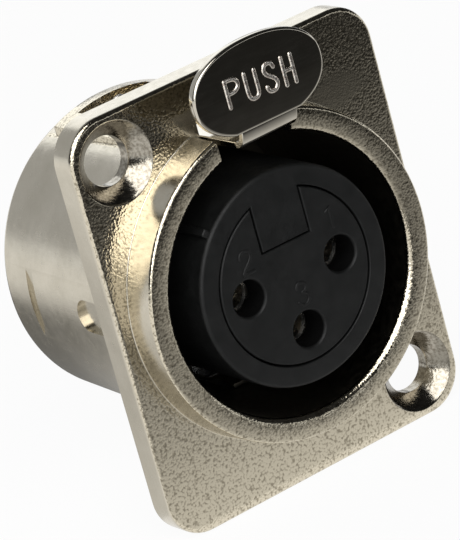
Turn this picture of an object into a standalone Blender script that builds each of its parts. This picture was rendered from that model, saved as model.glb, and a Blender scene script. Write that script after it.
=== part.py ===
"""Panel socket for a round three-pole audio plug, with a push latch.

Axes: the plug goes in along +Y, the latch is at the top (+Z), +X is to the
right seen from the front. The origin is on the bore's axis, on the flange's
rear face, which lies against the panel. All sizes are in metres.
"""
import math

import bmesh
import bpy
from mathutils import Matrix, Vector

# Flange
FLANGE_WIDTH = 0.0260
FLANGE_HEIGHT = 0.0310
FLANGE_THICKNESS = 0.0022
FLANGE_CORNER = 0.0030
FLANGE_EDGE = 0.00035

# Screw holes, in two opposite corners
SCREW_FROM_EDGE = 0.0035
SCREW_HOLE_RADIUS = 0.00175
SCREW_SINK_WIDTH = 0.00125

# Bore round the insert, with room for the plug's shell
PLUG_SPACE = 0.00215
BORE_DRAFT = 0.0002
BORE_DEPTH = 0.0144
MOUTH_CHAMFER = 0.0003

# Raised collar round the mouth
COLLAR_WALL = 0.00175
COLLAR_HEIGHT = 0.0026
COLLAR_FLARE = 0.00015
COLLAR_FILLET = 0.0003
COLLAR_EDGE = 0.00025
COLLAR_SLOT_BITE = 0.00005
COLLAR_SLOT_CLEARANCE = 0.0007

# Barrel behind the flange
BARREL_WALL = 0.0016
BARREL_DRAFT = 0.00055
BARREL_EDGE = 0.0006
BARREL_FILLET = 0.0004

# Inner shoulder and rear bore
SHOULDER_THICKNESS = 0.0013
SEAT_DEPTH = 0.0049

# Recesses in the barrel's sides
SIDE_NOTCH_WIDTH = 0.0024
SIDE_NOTCH_LENGTH = 0.0056
SIDE_NOTCH_DEPTH = 0.0006
SIDE_NOTCH_RISE = 0.0004
GRIP_SLOT_WIDTH = 0.0009
GRIP_SLOT_DEPTH = 0.00033
GRIP_SLOT_FROM_REAR = 0.0039

# Gap between pieces that touch
GAP = 0.0003

# Latch arm and its tooth
ARM_THICKNESS = 0.0005
ARM_ABOVE_BORE = 0.00055
ARM_WIDTH = 0.0047
NECK_BEND = 0.0010
TOOTH_WIDTH = 0.0036
TOOTH_DROP = 0.00165
TOOTH_FRONT = 0.0000
TOOTH_SLOPE = 0.0013
TOOTH_LENGTH = 0.0011
LUG_LENGTH = 0.0010
LUG_HEIGHT = 0.00035
LUG_REACH = 0.00065

# Latch head
HEAD_WIDTH = 0.01085
HEAD_HEIGHT = 0.0065
HEAD_THICKNESS = 0.0007
HEAD_BEVEL = 0.0002
HEAD_ROUNDNESS = 2.2
HEAD_FOOT_CUT = 0.00035
HEAD_STANDOFF = 0.00505
HEAD_FOOT_ABOVE_ARM = 0.00085

# Latch travel along its ramps
RAMP_ANGLE = math.radians(35.0)
LATCH_TRAVEL = 0.00122

# Pocket on the barrel's top
POCKET_FLOOR_THICKNESS = 0.0003
POCKET_LENGTH = 0.0128
POCKET_REAR_WALL = 0.0013
POCKET_SIDE_WALL = 0.0013
BOSS_ABOVE_BLOCK = 0.0004

# Latch rear block, ramps and tongue
BLOCK_THICKNESS = 0.0010
BLOCK_LENGTH = 0.0016
BLOCK_WIDTH = 0.0055
RAMP_TOP_LENGTH = 0.0011
TONGUE_WIDTH = 0.0024
TONGUE_LENGTH = 0.0015

# Latch spring
SPRING_RADIUS = 0.0006
SPRING_WIRE = 0.00024
SPRING_TURNS = 6

# Insert
SLEEVE_WALL = 0.00155
SLEEVE_PROUD = 0.0003
SLEEVE_EDGE = 0.00025
SLEEVE_FLANGE_THICKNESS = 0.0020
SLEEVE_WEB = 0.0032
SLEEVE_RIB_REACH = 0.0005
SLEEVE_RIB_WIDTH = 0.0006
SLEEVE_RIB_SETBACK = 0.0002
SLEEVE_RIB_ANGLE = math.radians(136.0)
CORE_RIM = 0.00015
CORE_GAP = 0.0002
KEY_WIDTH = 0.0040
KEY_REACH = 0.0035
CORE_EDGE = 0.00015

# Contacts, on a circle round the axis
CONTACT_CIRCLE = 0.0040
CONTACT_HOLE_RADIUS = 0.0013
CONTACT_HOLE_FLARE = 0.0002
CONTACT_COVER = 0.0025
CONTACT_BORE_RADIUS = 0.0012
CONTACT_WALL = 0.00045
CONTACT_BORE_DEPTH = 0.0090
CONTACT_COLLAR_WIDTH = 0.0004
CONTACT_COLLAR_LENGTH = 0.0017
CONTACT_STEM_RADIUS = 0.0014
CONTACT_SLIT = 0.0004
CONTACT_SLIT_LENGTH = 0.0060
CUP_RADIUS = 0.0012
CUP_BORE_RADIUS = 0.0009
CUP_LENGTH = 0.0052
CUP_BORE_DEPTH = 0.0040
CUP_CUT_LENGTH = 0.0032

# Retaining ring
RING_THICKNESS = 0.0008
RING_BITE = 0.0002
RING_WIDTH = 0.0010
RING_OPENING = math.radians(22.0)

# Ground contact
STRIP_THICKNESS = 0.00035
STRIP_WIDTH = 0.0025
STRIP_FINGER_RISE = 0.00045
STRIP_FINGER_LENGTH = 0.0035
STRIP_FROM_SHOULDER = 0.0046
STRIP_TAIL = 0.0037
STRIP_HOLE_RADIUS = 0.0006

# Round pieces: number of sides
SIDES_LARGE = 72
SIDES_SMALL = 24
OVERSHOOT = 0.0010

# Places that follow from the sizes, along Y
FLANGE_FRONT = -FLANGE_THICKNESS
COLLAR_FACE = FLANGE_FRONT - COLLAR_HEIGHT
SHOULDER_FRONT = COLLAR_FACE + BORE_DEPTH
SHOULDER_REAR = SHOULDER_FRONT + SHOULDER_THICKNESS
BARREL_REAR = SHOULDER_REAR + SEAT_DEPTH
SLEEVE_FRONT = COLLAR_FACE - SLEEVE_PROUD
SLEEVE_FLANGE_FRONT = SHOULDER_REAR + GAP
SLEEVE_REAR = SLEEVE_FLANGE_FRONT + SLEEVE_FLANGE_THICKNESS
RING_FRONT = SLEEVE_REAR + GAP
RING_REAR = RING_FRONT + RING_THICKNESS
CAVITY_FLOOR = SLEEVE_REAR - SLEEVE_WEB

# Radii that follow from the sizes, from the contacts outwards
CHAMBER_RADIUS = CONTACT_BORE_RADIUS + CONTACT_WALL + GAP
CORE_RADIUS = CONTACT_CIRCLE + CHAMBER_RADIUS + CORE_RIM
SLEEVE_RADIUS = CORE_RADIUS + CORE_GAP + SLEEVE_WALL
BORE_RADIUS = SLEEVE_RADIUS + PLUG_SPACE
COLLAR_RADIUS = BORE_RADIUS + COLLAR_WALL
BARREL_RADIUS = BORE_RADIUS + BARREL_WALL
SEAT_RADIUS = BORE_RADIUS
GROOVE_RADIUS = SEAT_RADIUS + RING_BITE + GAP
STRIP_TOP = -(BORE_RADIUS - BORE_DRAFT - GAP)
STRIP_BOTTOM = STRIP_TOP - STRIP_THICKNESS

# Latch heights and places that follow from the sizes
LIFT = LATCH_TRAVEL * math.sin(RAMP_ANGLE)
PUSH = LATCH_TRAVEL * math.cos(RAMP_ANGLE)
ARM_BOTTOM = BORE_RADIUS + ARM_ABOVE_BORE
ARM_TOP = ARM_BOTTOM + ARM_THICKNESS
HEAD_FOOT = ARM_BOTTOM + HEAD_FOOT_ABOVE_ARM
POCKET_FLOOR = BORE_RADIUS - BORE_DRAFT + POCKET_FLOOR_THICKNESS
BLOCK_BOTTOM = POCKET_FLOOR + GAP
BLOCK_TOP = BLOCK_BOTTOM + BLOCK_THICKNESS
BOSS_RADIUS = BLOCK_TOP + BOSS_ABOVE_BLOCK
WINDOW_TOP = ARM_TOP + LIFT + GAP
TOOTH_REAR = TOOTH_FRONT + TOOTH_SLOPE + TOOTH_LENGTH
LUG_FRONT = GAP
LUG_REAR = LUG_FRONT + LUG_LENGTH
LUG_POCKET_REAR = LUG_REAR + PUSH + GAP
CHANNEL_REAR = max(TOOTH_REAR, LUG_REAR) + PUSH + GAP
BLOCK_FRONT = CHANNEL_REAR - PUSH + GAP
BLOCK_FLAT_REAR = BLOCK_FRONT + BLOCK_LENGTH
BLOCK_REAR = BLOCK_FLAT_REAR + BLOCK_THICKNESS / math.tan(RAMP_ANGLE)
RAMP_SHIFT = GAP / math.sin(RAMP_ANGLE) - GAP / math.tan(RAMP_ANGLE)
RAMP_FOOT = BLOCK_FLAT_REAR + RAMP_SHIFT
RAMP_CREST = RAMP_FOOT + BLOCK_THICKNESS / math.tan(RAMP_ANGLE)
RAMP_END = RAMP_CREST + RAMP_TOP_LENGTH
TONGUE_REAR = BLOCK_REAR + TONGUE_LENGTH
POCKET_REAR = max(POCKET_LENGTH, TONGUE_REAR + PUSH + SPRING_WIRE * (SPRING_TURNS + 2) + 2 * GAP)
BOSS_REAR = POCKET_REAR + POCKET_REAR_WALL
CHANNEL_HALF = ARM_WIDTH / 2 + GAP
COLLAR_SLOT_HALF = ARM_WIDTH / 2 + COLLAR_SLOT_CLEARANCE
LUG_HALF = ARM_WIDTH / 2 + LUG_REACH
LUG_POCKET_HALF = LUG_HALF + GAP
POCKET_FRONT = min(LUG_POCKET_REAR, BLOCK_FRONT) - GAP
POCKET_HALF = BLOCK_WIDTH / 2 + GAP
BOSS_HALF = max(POCKET_HALF, LUG_POCKET_HALF) + POCKET_SIDE_WALL


def clear_scene():
    """Remove every object of the scene."""
    for obj in list(bpy.data.objects):
        bpy.data.objects.remove(obj, do_unlink=True)


def finish_of(name, colour, metallic, roughness):
    """Make a plain material with a colour, metallic value and roughness."""
    material = bpy.data.materials.new(name)
    material.use_nodes = True
    shader = material.node_tree.nodes["Principled BSDF"]
    shader.inputs["Base Color"].default_value = (*colour, 1.0)
    shader.inputs["Metallic"].default_value = metallic
    shader.inputs["Roughness"].default_value = roughness
    return material


def to_object(name, bm, material=None):
    """Turn a closed mesh into an object, shaded smooth up to 30 degrees."""
    bmesh.ops.remove_doubles(bm, verts=bm.verts, dist=1e-7)
    bmesh.ops.recalc_face_normals(bm, faces=bm.faces)
    mesh = bpy.data.meshes.new(name)
    bm.to_mesh(mesh)
    bm.free()
    mesh.shade_smooth()
    mesh.set_sharp_from_angle(angle=math.radians(30.0))
    if material:
        mesh.materials.append(material)
    obj = bpy.data.objects.new(name, mesh)
    bpy.context.scene.collection.objects.link(obj)
    return obj


def arc(centre, radius, start, end, steps):
    """Points of an arc in a plane, from one angle to another, in degrees."""
    points = []
    for i in range(steps + 1):
        angle = math.radians(start + (end - start) * i / steps)
        points.append((centre[0] + radius * math.cos(angle), centre[1] + radius * math.sin(angle)))
    return points


def turned(name, profile, material=None, sides=SIDES_LARGE, closed=False, centre=(0.0, 0.0)):
    """Spin a profile of (radius, y) points round an axis along Y.

    An open profile starts and ends on the axis. A closed one makes a ring.
    """
    bm = bmesh.new()
    verts = [bm.verts.new((radius, y, 0.0)) for radius, y in profile]
    edges = [bm.edges.new(pair) for pair in zip(verts, verts[1:])]
    if closed:
        edges.append(bm.edges.new((verts[-1], verts[0])))
    bmesh.ops.spin(bm, geom=verts + edges, axis=(0, 1, 0), cent=(0, 0, 0),
                   angle=2 * math.pi, steps=sides, use_merge=True)
    bmesh.ops.translate(bm, verts=bm.verts, vec=(centre[0], 0.0, centre[1]))
    return to_object(name, bm, material)


def extruded(name, outline, vector, material=None):
    """Extrude a flat outline of 3-D points along a vector."""
    bm = bmesh.new()
    face = bm.faces.new([bm.verts.new(point) for point in outline])
    grown = bmesh.ops.extrude_face_region(bm, geom=[face])
    verts = [item for item in grown["geom"] if isinstance(item, bmesh.types.BMVert)]
    bmesh.ops.translate(bm, verts=verts, vec=vector)
    return to_object(name, bm, material)


def side_shape(name, outline, half_width, material=None):
    """Extrude an outline of (y, z) points across X, centred on X = 0."""
    points = [(-half_width, y, z) for y, z in outline]
    return extruded(name, points, (2 * half_width, 0, 0), material)


def front_shape(name, outline, front, rear, material=None):
    """Extrude an outline of (x, z) points along Y."""
    points = [(x, front, z) for x, z in outline]
    return extruded(name, points, (0, rear - front, 0), material)


def block(name, x, y, z):
    """A rectangular block from its three (low, high) pairs."""
    outline = [(x[0], z[0]), (x[1], z[0]), (x[1], z[1]), (x[0], z[1])]
    return front_shape(name, outline, y[0], y[1])


def combine(target, tool, operation):
    """Add a Boolean to a piece, and keep its tool out of the model."""
    modifier = target.modifiers.new(f"{operation.lower()}_{tool.name}", "BOOLEAN")
    modifier.operation = operation
    modifier.object = tool
    tool.hide_render = True
    tool.display_type = "WIRE"


def cut(target, tool):
    """Take a tool's shape away from a piece."""
    combine(target, tool, "DIFFERENCE")


def join(target, tool):
    """Join a tool's shape to a piece."""
    combine(target, tool, "UNION")


def ribbon(points, thickness):
    """Outline of a strip of one thickness along a line of (y, z) points."""
    left, right = [], []
    for i, point in enumerate(points):
        before = Vector(points[max(i - 1, 0)])
        after = Vector(points[min(i + 1, len(points) - 1)])
        along = (after - before).normalized()
        offset = Vector((-along.y, along.x)) * thickness / 2
        left.append(tuple(Vector(point) + offset))
        right.append(tuple(Vector(point) - offset))
    return left + right[::-1]


def rounded_rectangle(width, height, corner):
    """Outline of (x, z) points with round corners."""
    points = []
    for sign_x, sign_z, start in ((1, 1, 0), (-1, 1, 90), (-1, -1, 180), (1, -1, 270)):
        centre = (sign_x * (width / 2 - corner), sign_z * (height / 2 - corner))
        points += arc(centre, corner, start, start + 90, 8)
    return points


def plate(name, outline_at, front, rear, edge, material=None):
    """A plate whose front edge is rounded; outline_at gives the outline inset by a length."""
    bm = bmesh.new()
    levels = [(0.0, rear), (0.0, front + edge)]
    levels += [(edge * (1 - math.cos(a)), front + edge * (1 - math.sin(a)))
               for a in (math.pi / 6, math.pi / 3, math.pi / 2)]
    loops = []
    for inset, y in levels:
        verts = [bm.verts.new((x, y, z)) for x, z in outline_at(inset)]
        loops.append([bm.edges.new((verts[i - 1], verts[i])) for i in range(len(verts))])
        if y in (rear, levels[-1][1]):
            bm.faces.new(verts)
    for lower, upper in zip(loops, loops[1:]):
        bmesh.ops.bridge_loops(bm, edges=lower + upper)
    return to_object(name, bm, material)


def housing_body():
    """Collar, barrel and everything on the axis, before the bore is cut."""
    profile = [(0.0, COLLAR_FACE)]
    profile += arc((COLLAR_RADIUS - COLLAR_EDGE, COLLAR_FACE + COLLAR_EDGE), COLLAR_EDGE, -90, 0, 3)
    foot = COLLAR_RADIUS + COLLAR_FLARE
    profile += arc((foot + COLLAR_FILLET, FLANGE_FRONT - COLLAR_FILLET), COLLAR_FILLET, 180, 90, 3)
    profile += arc((BARREL_RADIUS + BARREL_FILLET, BARREL_FILLET), BARREL_FILLET, 270, 180, 3)
    rear = BARREL_RADIUS - BARREL_DRAFT
    profile += arc((rear - BARREL_EDGE, BARREL_REAR - BARREL_EDGE), BARREL_EDGE, 0, 90, 4)
    profile.append((0.0, BARREL_REAR))
    return turned("housing_body", profile)


def boss_outline():
    """Round top and straight sides of the boss that holds the latch."""
    spread = math.degrees(math.asin(BOSS_HALF / BOSS_RADIUS))
    low = BORE_RADIUS * 0.6
    top = arc((0.0, 0.0), BOSS_RADIUS, 90 - spread, 90 + spread, 10)
    return [(BOSS_HALF, low)] + top + [(-BOSS_HALF, low)]


def bore_tool():
    """Stepped bore: mouth, plug bore, shoulder, seat and ring groove."""
    deep = BORE_RADIUS - BORE_DRAFT
    shoulder = SLEEVE_RADIUS + GAP
    chamfer = MOUTH_CHAMFER + OVERSHOOT
    profile = [
        (0.0, COLLAR_FACE - OVERSHOOT),
        (BORE_RADIUS + chamfer, COLLAR_FACE - OVERSHOOT),
        (BORE_RADIUS, COLLAR_FACE + MOUTH_CHAMFER),
        (deep, SHOULDER_FRONT),
        (shoulder, SHOULDER_FRONT),
        (shoulder, SHOULDER_REAR),
        (SEAT_RADIUS, SHOULDER_REAR),
        (SEAT_RADIUS, RING_FRONT - GAP / 2),
        (GROOVE_RADIUS, RING_FRONT - GAP / 2),
        (GROOVE_RADIUS, RING_REAR + GAP),
        (SEAT_RADIUS, RING_REAR + GAP),
        (SEAT_RADIUS, BARREL_REAR + OVERSHOOT),
        (0.0, BARREL_REAR + OVERSHOOT),
    ]
    return turned("bore_tool", profile)


def screw_tool(name, centre):
    """Countersunk through hole of one screw."""
    wide = SCREW_HOLE_RADIUS + SCREW_SINK_WIDTH + OVERSHOOT
    profile = [
        (0.0, FLANGE_FRONT - OVERSHOOT),
        (wide, FLANGE_FRONT - OVERSHOOT),
        (SCREW_HOLE_RADIUS, FLANGE_FRONT + SCREW_SINK_WIDTH),
        (SCREW_HOLE_RADIUS, OVERSHOOT),
        (0.0, OVERSHOOT),
    ]
    return turned(name, profile, sides=40, centre=centre)


def side_notch_tool(name, side):
    """Flat recess with a round end, in the barrel's side behind the flange."""
    half = SIDE_NOTCH_WIDTH / 2
    straight = SIDE_NOTCH_LENGTH - half
    ends = arc((straight, SIDE_NOTCH_RISE), half, 90, -90, 8)
    outline = [(0.0, SIDE_NOTCH_RISE - half), (0.0, SIDE_NOTCH_RISE + half)] + ends
    floor = side * (BARREL_RADIUS - SIDE_NOTCH_DEPTH)
    points = [(floor, y, z) for y, z in outline]
    return extruded(name, points, (side * BARREL_WALL, 0, 0))


def grip_slot_tool(name, side):
    """Straight shallow slot across the barrel's side."""
    y = BARREL_REAR - GRIP_SLOT_FROM_REAR
    wall = BARREL_RADIUS - BARREL_DRAFT * y / BARREL_REAR
    floor = wall - GRIP_SLOT_DEPTH
    x = sorted((side * floor, side * (wall + OVERSHOOT)))
    return block(name, x, (y - GRIP_SLOT_WIDTH / 2, y + GRIP_SLOT_WIDTH / 2), (-floor / 2, floor / 2))


def channel_tools():
    """Tools that open the collar, flange and barrel for the latch."""
    low = SLEEVE_RADIUS
    high = BOSS_RADIUS + OVERSHOOT
    front = COLLAR_FACE - OVERSHOOT
    yield block("collar_slot_tool", (-COLLAR_SLOT_HALF, COLLAR_SLOT_HALF),
                (front, FLANGE_FRONT + COLLAR_SLOT_BITE), (low, high))
    yield block("window_tool", (-CHANNEL_HALF, CHANNEL_HALF), (front, CHANNEL_REAR), (low, WINDOW_TOP))
    lug_low = ARM_BOTTOM - GAP
    yield block("lug_pocket_tool", (-LUG_POCKET_HALF, LUG_POCKET_HALF), (0.0, LUG_POCKET_REAR),
                (lug_low, high))
    crest = POCKET_FLOOR + BLOCK_THICKNESS
    outline = [
        (POCKET_FRONT, POCKET_FLOOR),
        (RAMP_FOOT, POCKET_FLOOR),
        (RAMP_CREST, crest),
        (RAMP_END, crest),
        (RAMP_END, POCKET_FLOOR),
        (POCKET_REAR, POCKET_FLOOR),
        (POCKET_REAR, high),
        (POCKET_FRONT, high),
    ]
    yield side_shape("pocket_tool", outline, POCKET_HALF)
    tongue_half = TONGUE_WIDTH / 2 + GAP
    yield block("tongue_tool", (-tongue_half, tongue_half), (RAMP_FOOT - GAP, POCKET_REAR),
                (POCKET_FLOOR, high))


def make_housing(material):
    """Flange, collar and barrel, cast as one piece."""
    def outline_at(inset):
        return rounded_rectangle(FLANGE_WIDTH - 2 * inset, FLANGE_HEIGHT - 2 * inset, FLANGE_CORNER - inset)

    housing = plate("housing", outline_at, FLANGE_FRONT, 0.0, FLANGE_EDGE, material)
    join(housing, housing_body())
    join(housing, front_shape("boss", boss_outline(), FLANGE_FRONT / 2, BOSS_REAR))
    for tool in channel_tools():
        cut(housing, tool)
    screw_x = FLANGE_WIDTH / 2 - SCREW_FROM_EDGE
    screw_z = FLANGE_HEIGHT / 2 - SCREW_FROM_EDGE
    cut(housing, screw_tool("screw_tool_left", (-screw_x, screw_z)))
    cut(housing, screw_tool("screw_tool_right", (screw_x, -screw_z)))
    for label, side in (("left", -1), ("right", 1)):
        cut(housing, side_notch_tool(f"side_notch_tool_{label}", side))
        cut(housing, grip_slot_tool(f"grip_slot_tool_{label}", side))
    strip_half = STRIP_WIDTH / 2 + GAP
    front = SHOULDER_FRONT - STRIP_FROM_SHOULDER - GAP
    cut(housing, block("strip_groove_tool", (-strip_half, strip_half), (front, BARREL_REAR + OVERSHOOT),
                       (STRIP_BOTTOM - GAP, -SLEEVE_RADIUS)))
    cut(housing, bore_tool())
    return housing


def head_outline(inset):
    """Oval outline of the latch head, flat along its foot, as (x, height) points."""
    half_width = HEAD_WIDTH / 2 - inset
    half_height = HEAD_HEIGHT / 2 - inset
    foot = -HEAD_HEIGHT / 2 + HEAD_FOOT_CUT + inset
    points = []
    for i in range(40):
        angle = 2 * math.pi * i / 40
        c, s = math.cos(angle), math.sin(angle)
        x = math.copysign(abs(c) ** (2 / HEAD_ROUNDNESS), c) * half_width
        z = math.copysign(abs(s) ** (2 / HEAD_ROUNDNESS), s) * half_height
        points.append((x, max(z, foot) + HEAD_HEIGHT / 2))
    return points


def make_latch(material):
    """Latch: push plate, bent neck, arm with tooth and lugs, and rear block."""
    front = FLANGE_FRONT - HEAD_STANDOFF
    arm_middle = (ARM_BOTTOM + ARM_TOP) / 2
    neck_middle = front + ARM_THICKNESS / 2
    bend_z = arm_middle + NECK_BEND
    line = [(neck_middle, bend_z + NECK_BEND)]
    line += arc((neck_middle + NECK_BEND, bend_z), NECK_BEND, 180, 270, 8)
    line.append((BLOCK_FRONT + GAP, arm_middle))
    latch = side_shape("latch", ribbon(line, ARM_THICKNESS), ARM_WIDTH / 2, material)

    head = plate("head", head_outline, front, front + HEAD_THICKNESS, HEAD_BEVEL)
    head.location.z = HEAD_FOOT
    join(latch, head)

    rear_block = [(BLOCK_FRONT, BLOCK_BOTTOM), (BLOCK_FLAT_REAR, BLOCK_BOTTOM), (BLOCK_REAR, BLOCK_TOP),
                  (BLOCK_FRONT, BLOCK_TOP)]
    join(latch, side_shape("rear_block", rear_block, BLOCK_WIDTH / 2))
    join(latch, block("tongue", (-TONGUE_WIDTH / 2, TONGUE_WIDTH / 2),
                      (BLOCK_FRONT + GAP, TONGUE_REAR), (BLOCK_BOTTOM, BLOCK_TOP)))
    tip = ARM_BOTTOM - TOOTH_DROP
    tooth = [(TOOTH_FRONT, arm_middle), (TOOTH_FRONT, ARM_BOTTOM), (TOOTH_FRONT + TOOTH_SLOPE, tip),
             (TOOTH_REAR, tip), (TOOTH_REAR, arm_middle)]
    join(latch, side_shape("tooth", tooth, TOOTH_WIDTH / 2))
    join(latch, block("lugs", (-LUG_HALF, LUG_HALF), (LUG_FRONT, LUG_REAR),
                      (ARM_BOTTOM, ARM_BOTTOM + LUG_HEIGHT)))
    return latch


def make_spring(material):
    """Compression spring between the latch's tongue and the pocket's rear wall."""
    front = TONGUE_REAR + GAP + SPRING_WIRE / 2
    rear = POCKET_REAR - GAP - SPRING_WIRE / 2
    middle = POCKET_FLOOR + GAP / 2 + SPRING_RADIUS + SPRING_WIRE / 2
    steps = 14 * SPRING_TURNS
    curve = bpy.data.curves.new("latch_spring", "CURVE")
    curve.dimensions = "3D"
    spline = curve.splines.new("POLY")
    spline.points.add(steps)
    for i, point in enumerate(spline.points):
        share = i / steps
        angle = 2 * math.pi * SPRING_TURNS * share
        y = front + (rear - front) * share
        point.co = (SPRING_RADIUS * math.cos(angle), y, middle + SPRING_RADIUS * math.sin(angle), 1.0)
    curve.bevel_depth = SPRING_WIRE / 2
    curve.bevel_resolution = 1
    curve.use_fill_caps = True
    curve.materials.append(material)
    spring = bpy.data.objects.new("latch_spring", curve)
    bpy.context.scene.collection.objects.link(spring)
    return spring


def keyed_disc(radius, key_half, key_bottom):
    """Circle of (x, z) points with a square notch in its top."""
    spread = math.degrees(math.asin(key_half / radius))
    rim = arc((0.0, 0.0), radius, 90 + spread, 450 - spread, 56)
    return rim + [(key_half, key_bottom), (-key_half, key_bottom)]


def contact_places():
    """Number and (x, z) centre of each contact: 1 right, 2 left, 3 below."""
    for number, angle in ((1, 0.0), (2, math.pi), (3, -math.pi / 2)):
        yield number, (CONTACT_CIRCLE * math.cos(angle), CONTACT_CIRCLE * math.sin(angle))


def make_sleeve(material):
    """Outer part of the insert: sleeve with a key, a side rib, rear web and seat flange."""
    flange = SEAT_RADIUS - GAP
    profile = [(0.0, SLEEVE_FRONT)]
    profile += arc((SLEEVE_RADIUS - SLEEVE_EDGE, SLEEVE_FRONT + SLEEVE_EDGE), SLEEVE_EDGE, -90, 0, 3)
    profile += [(SLEEVE_RADIUS, SLEEVE_FLANGE_FRONT), (flange, SLEEVE_FLANGE_FRONT), (flange, SLEEVE_REAR),
                (0.0, SLEEVE_REAR)]
    sleeve = turned("insert_sleeve", profile, material)
    half = SLEEVE_RIB_WIDTH / 2
    rib = block("rib", ((SLEEVE_RADIUS + CORE_RADIUS) / 2, SLEEVE_RADIUS + SLEEVE_RIB_REACH),
                (SLEEVE_FRONT + SLEEVE_RIB_SETBACK, SHOULDER_FRONT - GAP), (-half, half))
    rib.matrix_world = Matrix.Rotation(-SLEEVE_RIB_ANGLE, 4, "Y")
    join(sleeve, rib)
    cavity = keyed_disc(CORE_RADIUS + CORE_GAP, KEY_WIDTH / 2, CORE_RADIUS - KEY_REACH)
    cut(sleeve, front_shape("cavity_tool", cavity, SLEEVE_FRONT - OVERSHOOT, CAVITY_FLOOR))
    stem = CONTACT_STEM_RADIUS + GAP
    for number, centre in contact_places():
        profile = [(0.0, CAVITY_FLOOR - OVERSHOOT), (stem, CAVITY_FLOOR - OVERSHOOT),
                   (stem, SLEEVE_REAR + OVERSHOOT), (0.0, SLEEVE_REAR + OVERSHOOT)]
        cut(sleeve, turned(f"stem_tool_{number}", profile, sides=SIDES_SMALL, centre=centre))
    strip_half = STRIP_WIDTH / 2 + GAP
    cut(sleeve, block("strip_notch_tool", (-strip_half, strip_half),
                      (SLEEVE_FLANGE_FRONT - GAP / 2, SLEEVE_REAR + OVERSHOOT),
                      (-SEAT_RADIUS - OVERSHOOT, STRIP_TOP + GAP)))
    return sleeve


def make_core(material):
    """Inner part of the insert: keyed core that guides the plug's pins."""
    rear = CAVITY_FLOOR - CONTACT_COLLAR_LENGTH - 2 * GAP

    def outline_at(inset):
        return keyed_disc(CORE_RADIUS - inset, KEY_WIDTH / 2 + CORE_GAP + inset,
                          CORE_RADIUS - KEY_REACH - CORE_GAP - inset)

    core = plate("insert_core", outline_at, SLEEVE_FRONT, rear, CORE_EDGE, material)
    step = SLEEVE_FRONT + CONTACT_COVER - GAP
    for number, centre in contact_places():
        flare = CONTACT_HOLE_RADIUS + CONTACT_HOLE_FLARE + OVERSHOOT
        profile = [(0.0, SLEEVE_FRONT - OVERSHOOT), (flare, SLEEVE_FRONT - OVERSHOOT),
                   (CONTACT_HOLE_RADIUS, SLEEVE_FRONT + CONTACT_HOLE_FLARE), (CONTACT_HOLE_RADIUS, step),
                   (CHAMBER_RADIUS, step), (CHAMBER_RADIUS, rear + OVERSHOOT), (0.0, rear + OVERSHOOT)]
        cut(core, turned(f"contact_tool_{number}", profile, sides=SIDES_SMALL, centre=centre))
    return core


def make_contact(number, centre, material):
    """Turned socket contact: split tube, collar, stem and solder cup."""
    tube = CONTACT_BORE_RADIUS + CONTACT_WALL
    collar = tube + CONTACT_COLLAR_WIDTH
    front = SLEEVE_FRONT + CONTACT_COVER
    collar_rear = CAVITY_FLOOR - GAP
    collar_front = collar_rear - CONTACT_COLLAR_LENGTH
    cup_front = SLEEVE_REAR + GAP
    rear = cup_front + CUP_LENGTH
    bore_end = front + CONTACT_BORE_DEPTH
    cup_end = rear - CUP_BORE_DEPTH
    profile = [
        (0.0, bore_end), (CONTACT_BORE_RADIUS, bore_end), (CONTACT_BORE_RADIUS, front + GAP / 2),
        (CONTACT_BORE_RADIUS + GAP / 2, front), (tube, front), (tube, collar_front),
        (collar, collar_front), (collar, collar_rear), (CONTACT_STEM_RADIUS, collar_rear),
        (CONTACT_STEM_RADIUS, cup_front), (CUP_RADIUS, cup_front), (CUP_RADIUS, rear),
        (CUP_BORE_RADIUS, rear), (CUP_BORE_RADIUS, cup_end), (0.0, cup_end),
    ]
    contact = turned(f"contact_{number}", profile, material, sides=SIDES_SMALL, centre=centre)
    half = CONTACT_SLIT / 2
    x, z = centre
    cut(contact, block(f"slit_tool_{number}", (x - half, x + half),
                       (front - OVERSHOOT, front + CONTACT_SLIT_LENGTH), (z - 2 * tube, z + 2 * tube)))
    cut_low = z + CUP_BORE_RADIUS / 4
    cut(contact, block(f"cup_tool_{number}", (x - 2 * CUP_RADIUS, x + 2 * CUP_RADIUS),
                       (rear - CUP_CUT_LENGTH, rear + OVERSHOOT), (cut_low, z + 2 * CUP_RADIUS)))
    return contact


def make_retaining_ring(material):
    """Open spring ring that holds the insert against the shoulder."""
    outer = SEAT_RADIUS + RING_BITE
    inner = outer - RING_WIDTH
    opening = math.degrees(RING_OPENING)
    outline = arc((0.0, 0.0), outer, -90 + opening, 270 - opening, 56)
    outline += arc((0.0, 0.0), inner, 270 - opening, -90 + opening, 56)
    return front_shape("retaining_ring", outline, RING_FRONT, RING_REAR, material)


def make_ground_contact(material):
    """Ground strip under the insert: spring finger in the bore, solder tag behind."""
    front = SHOULDER_FRONT - STRIP_FROM_SHOULDER
    rear = BARREL_REAR + STRIP_TAIL
    middle = (STRIP_TOP + STRIP_BOTTOM) / 2
    line = []
    for i in range(9):
        share = i / 8
        rise = STRIP_FINGER_RISE * math.sin(math.pi * share) ** 2
        line.append((front + STRIP_FINGER_LENGTH * share, middle + rise))
    line.append((rear, middle))
    strip = side_shape("ground_contact", ribbon(line, STRIP_THICKNESS), STRIP_WIDTH / 2, material)
    bm = bmesh.new()
    bmesh.ops.create_cone(bm, cap_ends=True, segments=16, radius1=STRIP_HOLE_RADIUS,
                          radius2=STRIP_HOLE_RADIUS, depth=STRIP_THICKNESS * 4)
    hole = to_object("tag_hole_tool", bm)
    hole.location = (0.0, rear - STRIP_WIDTH / 2, middle)
    cut(strip, hole)
    return strip


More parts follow.
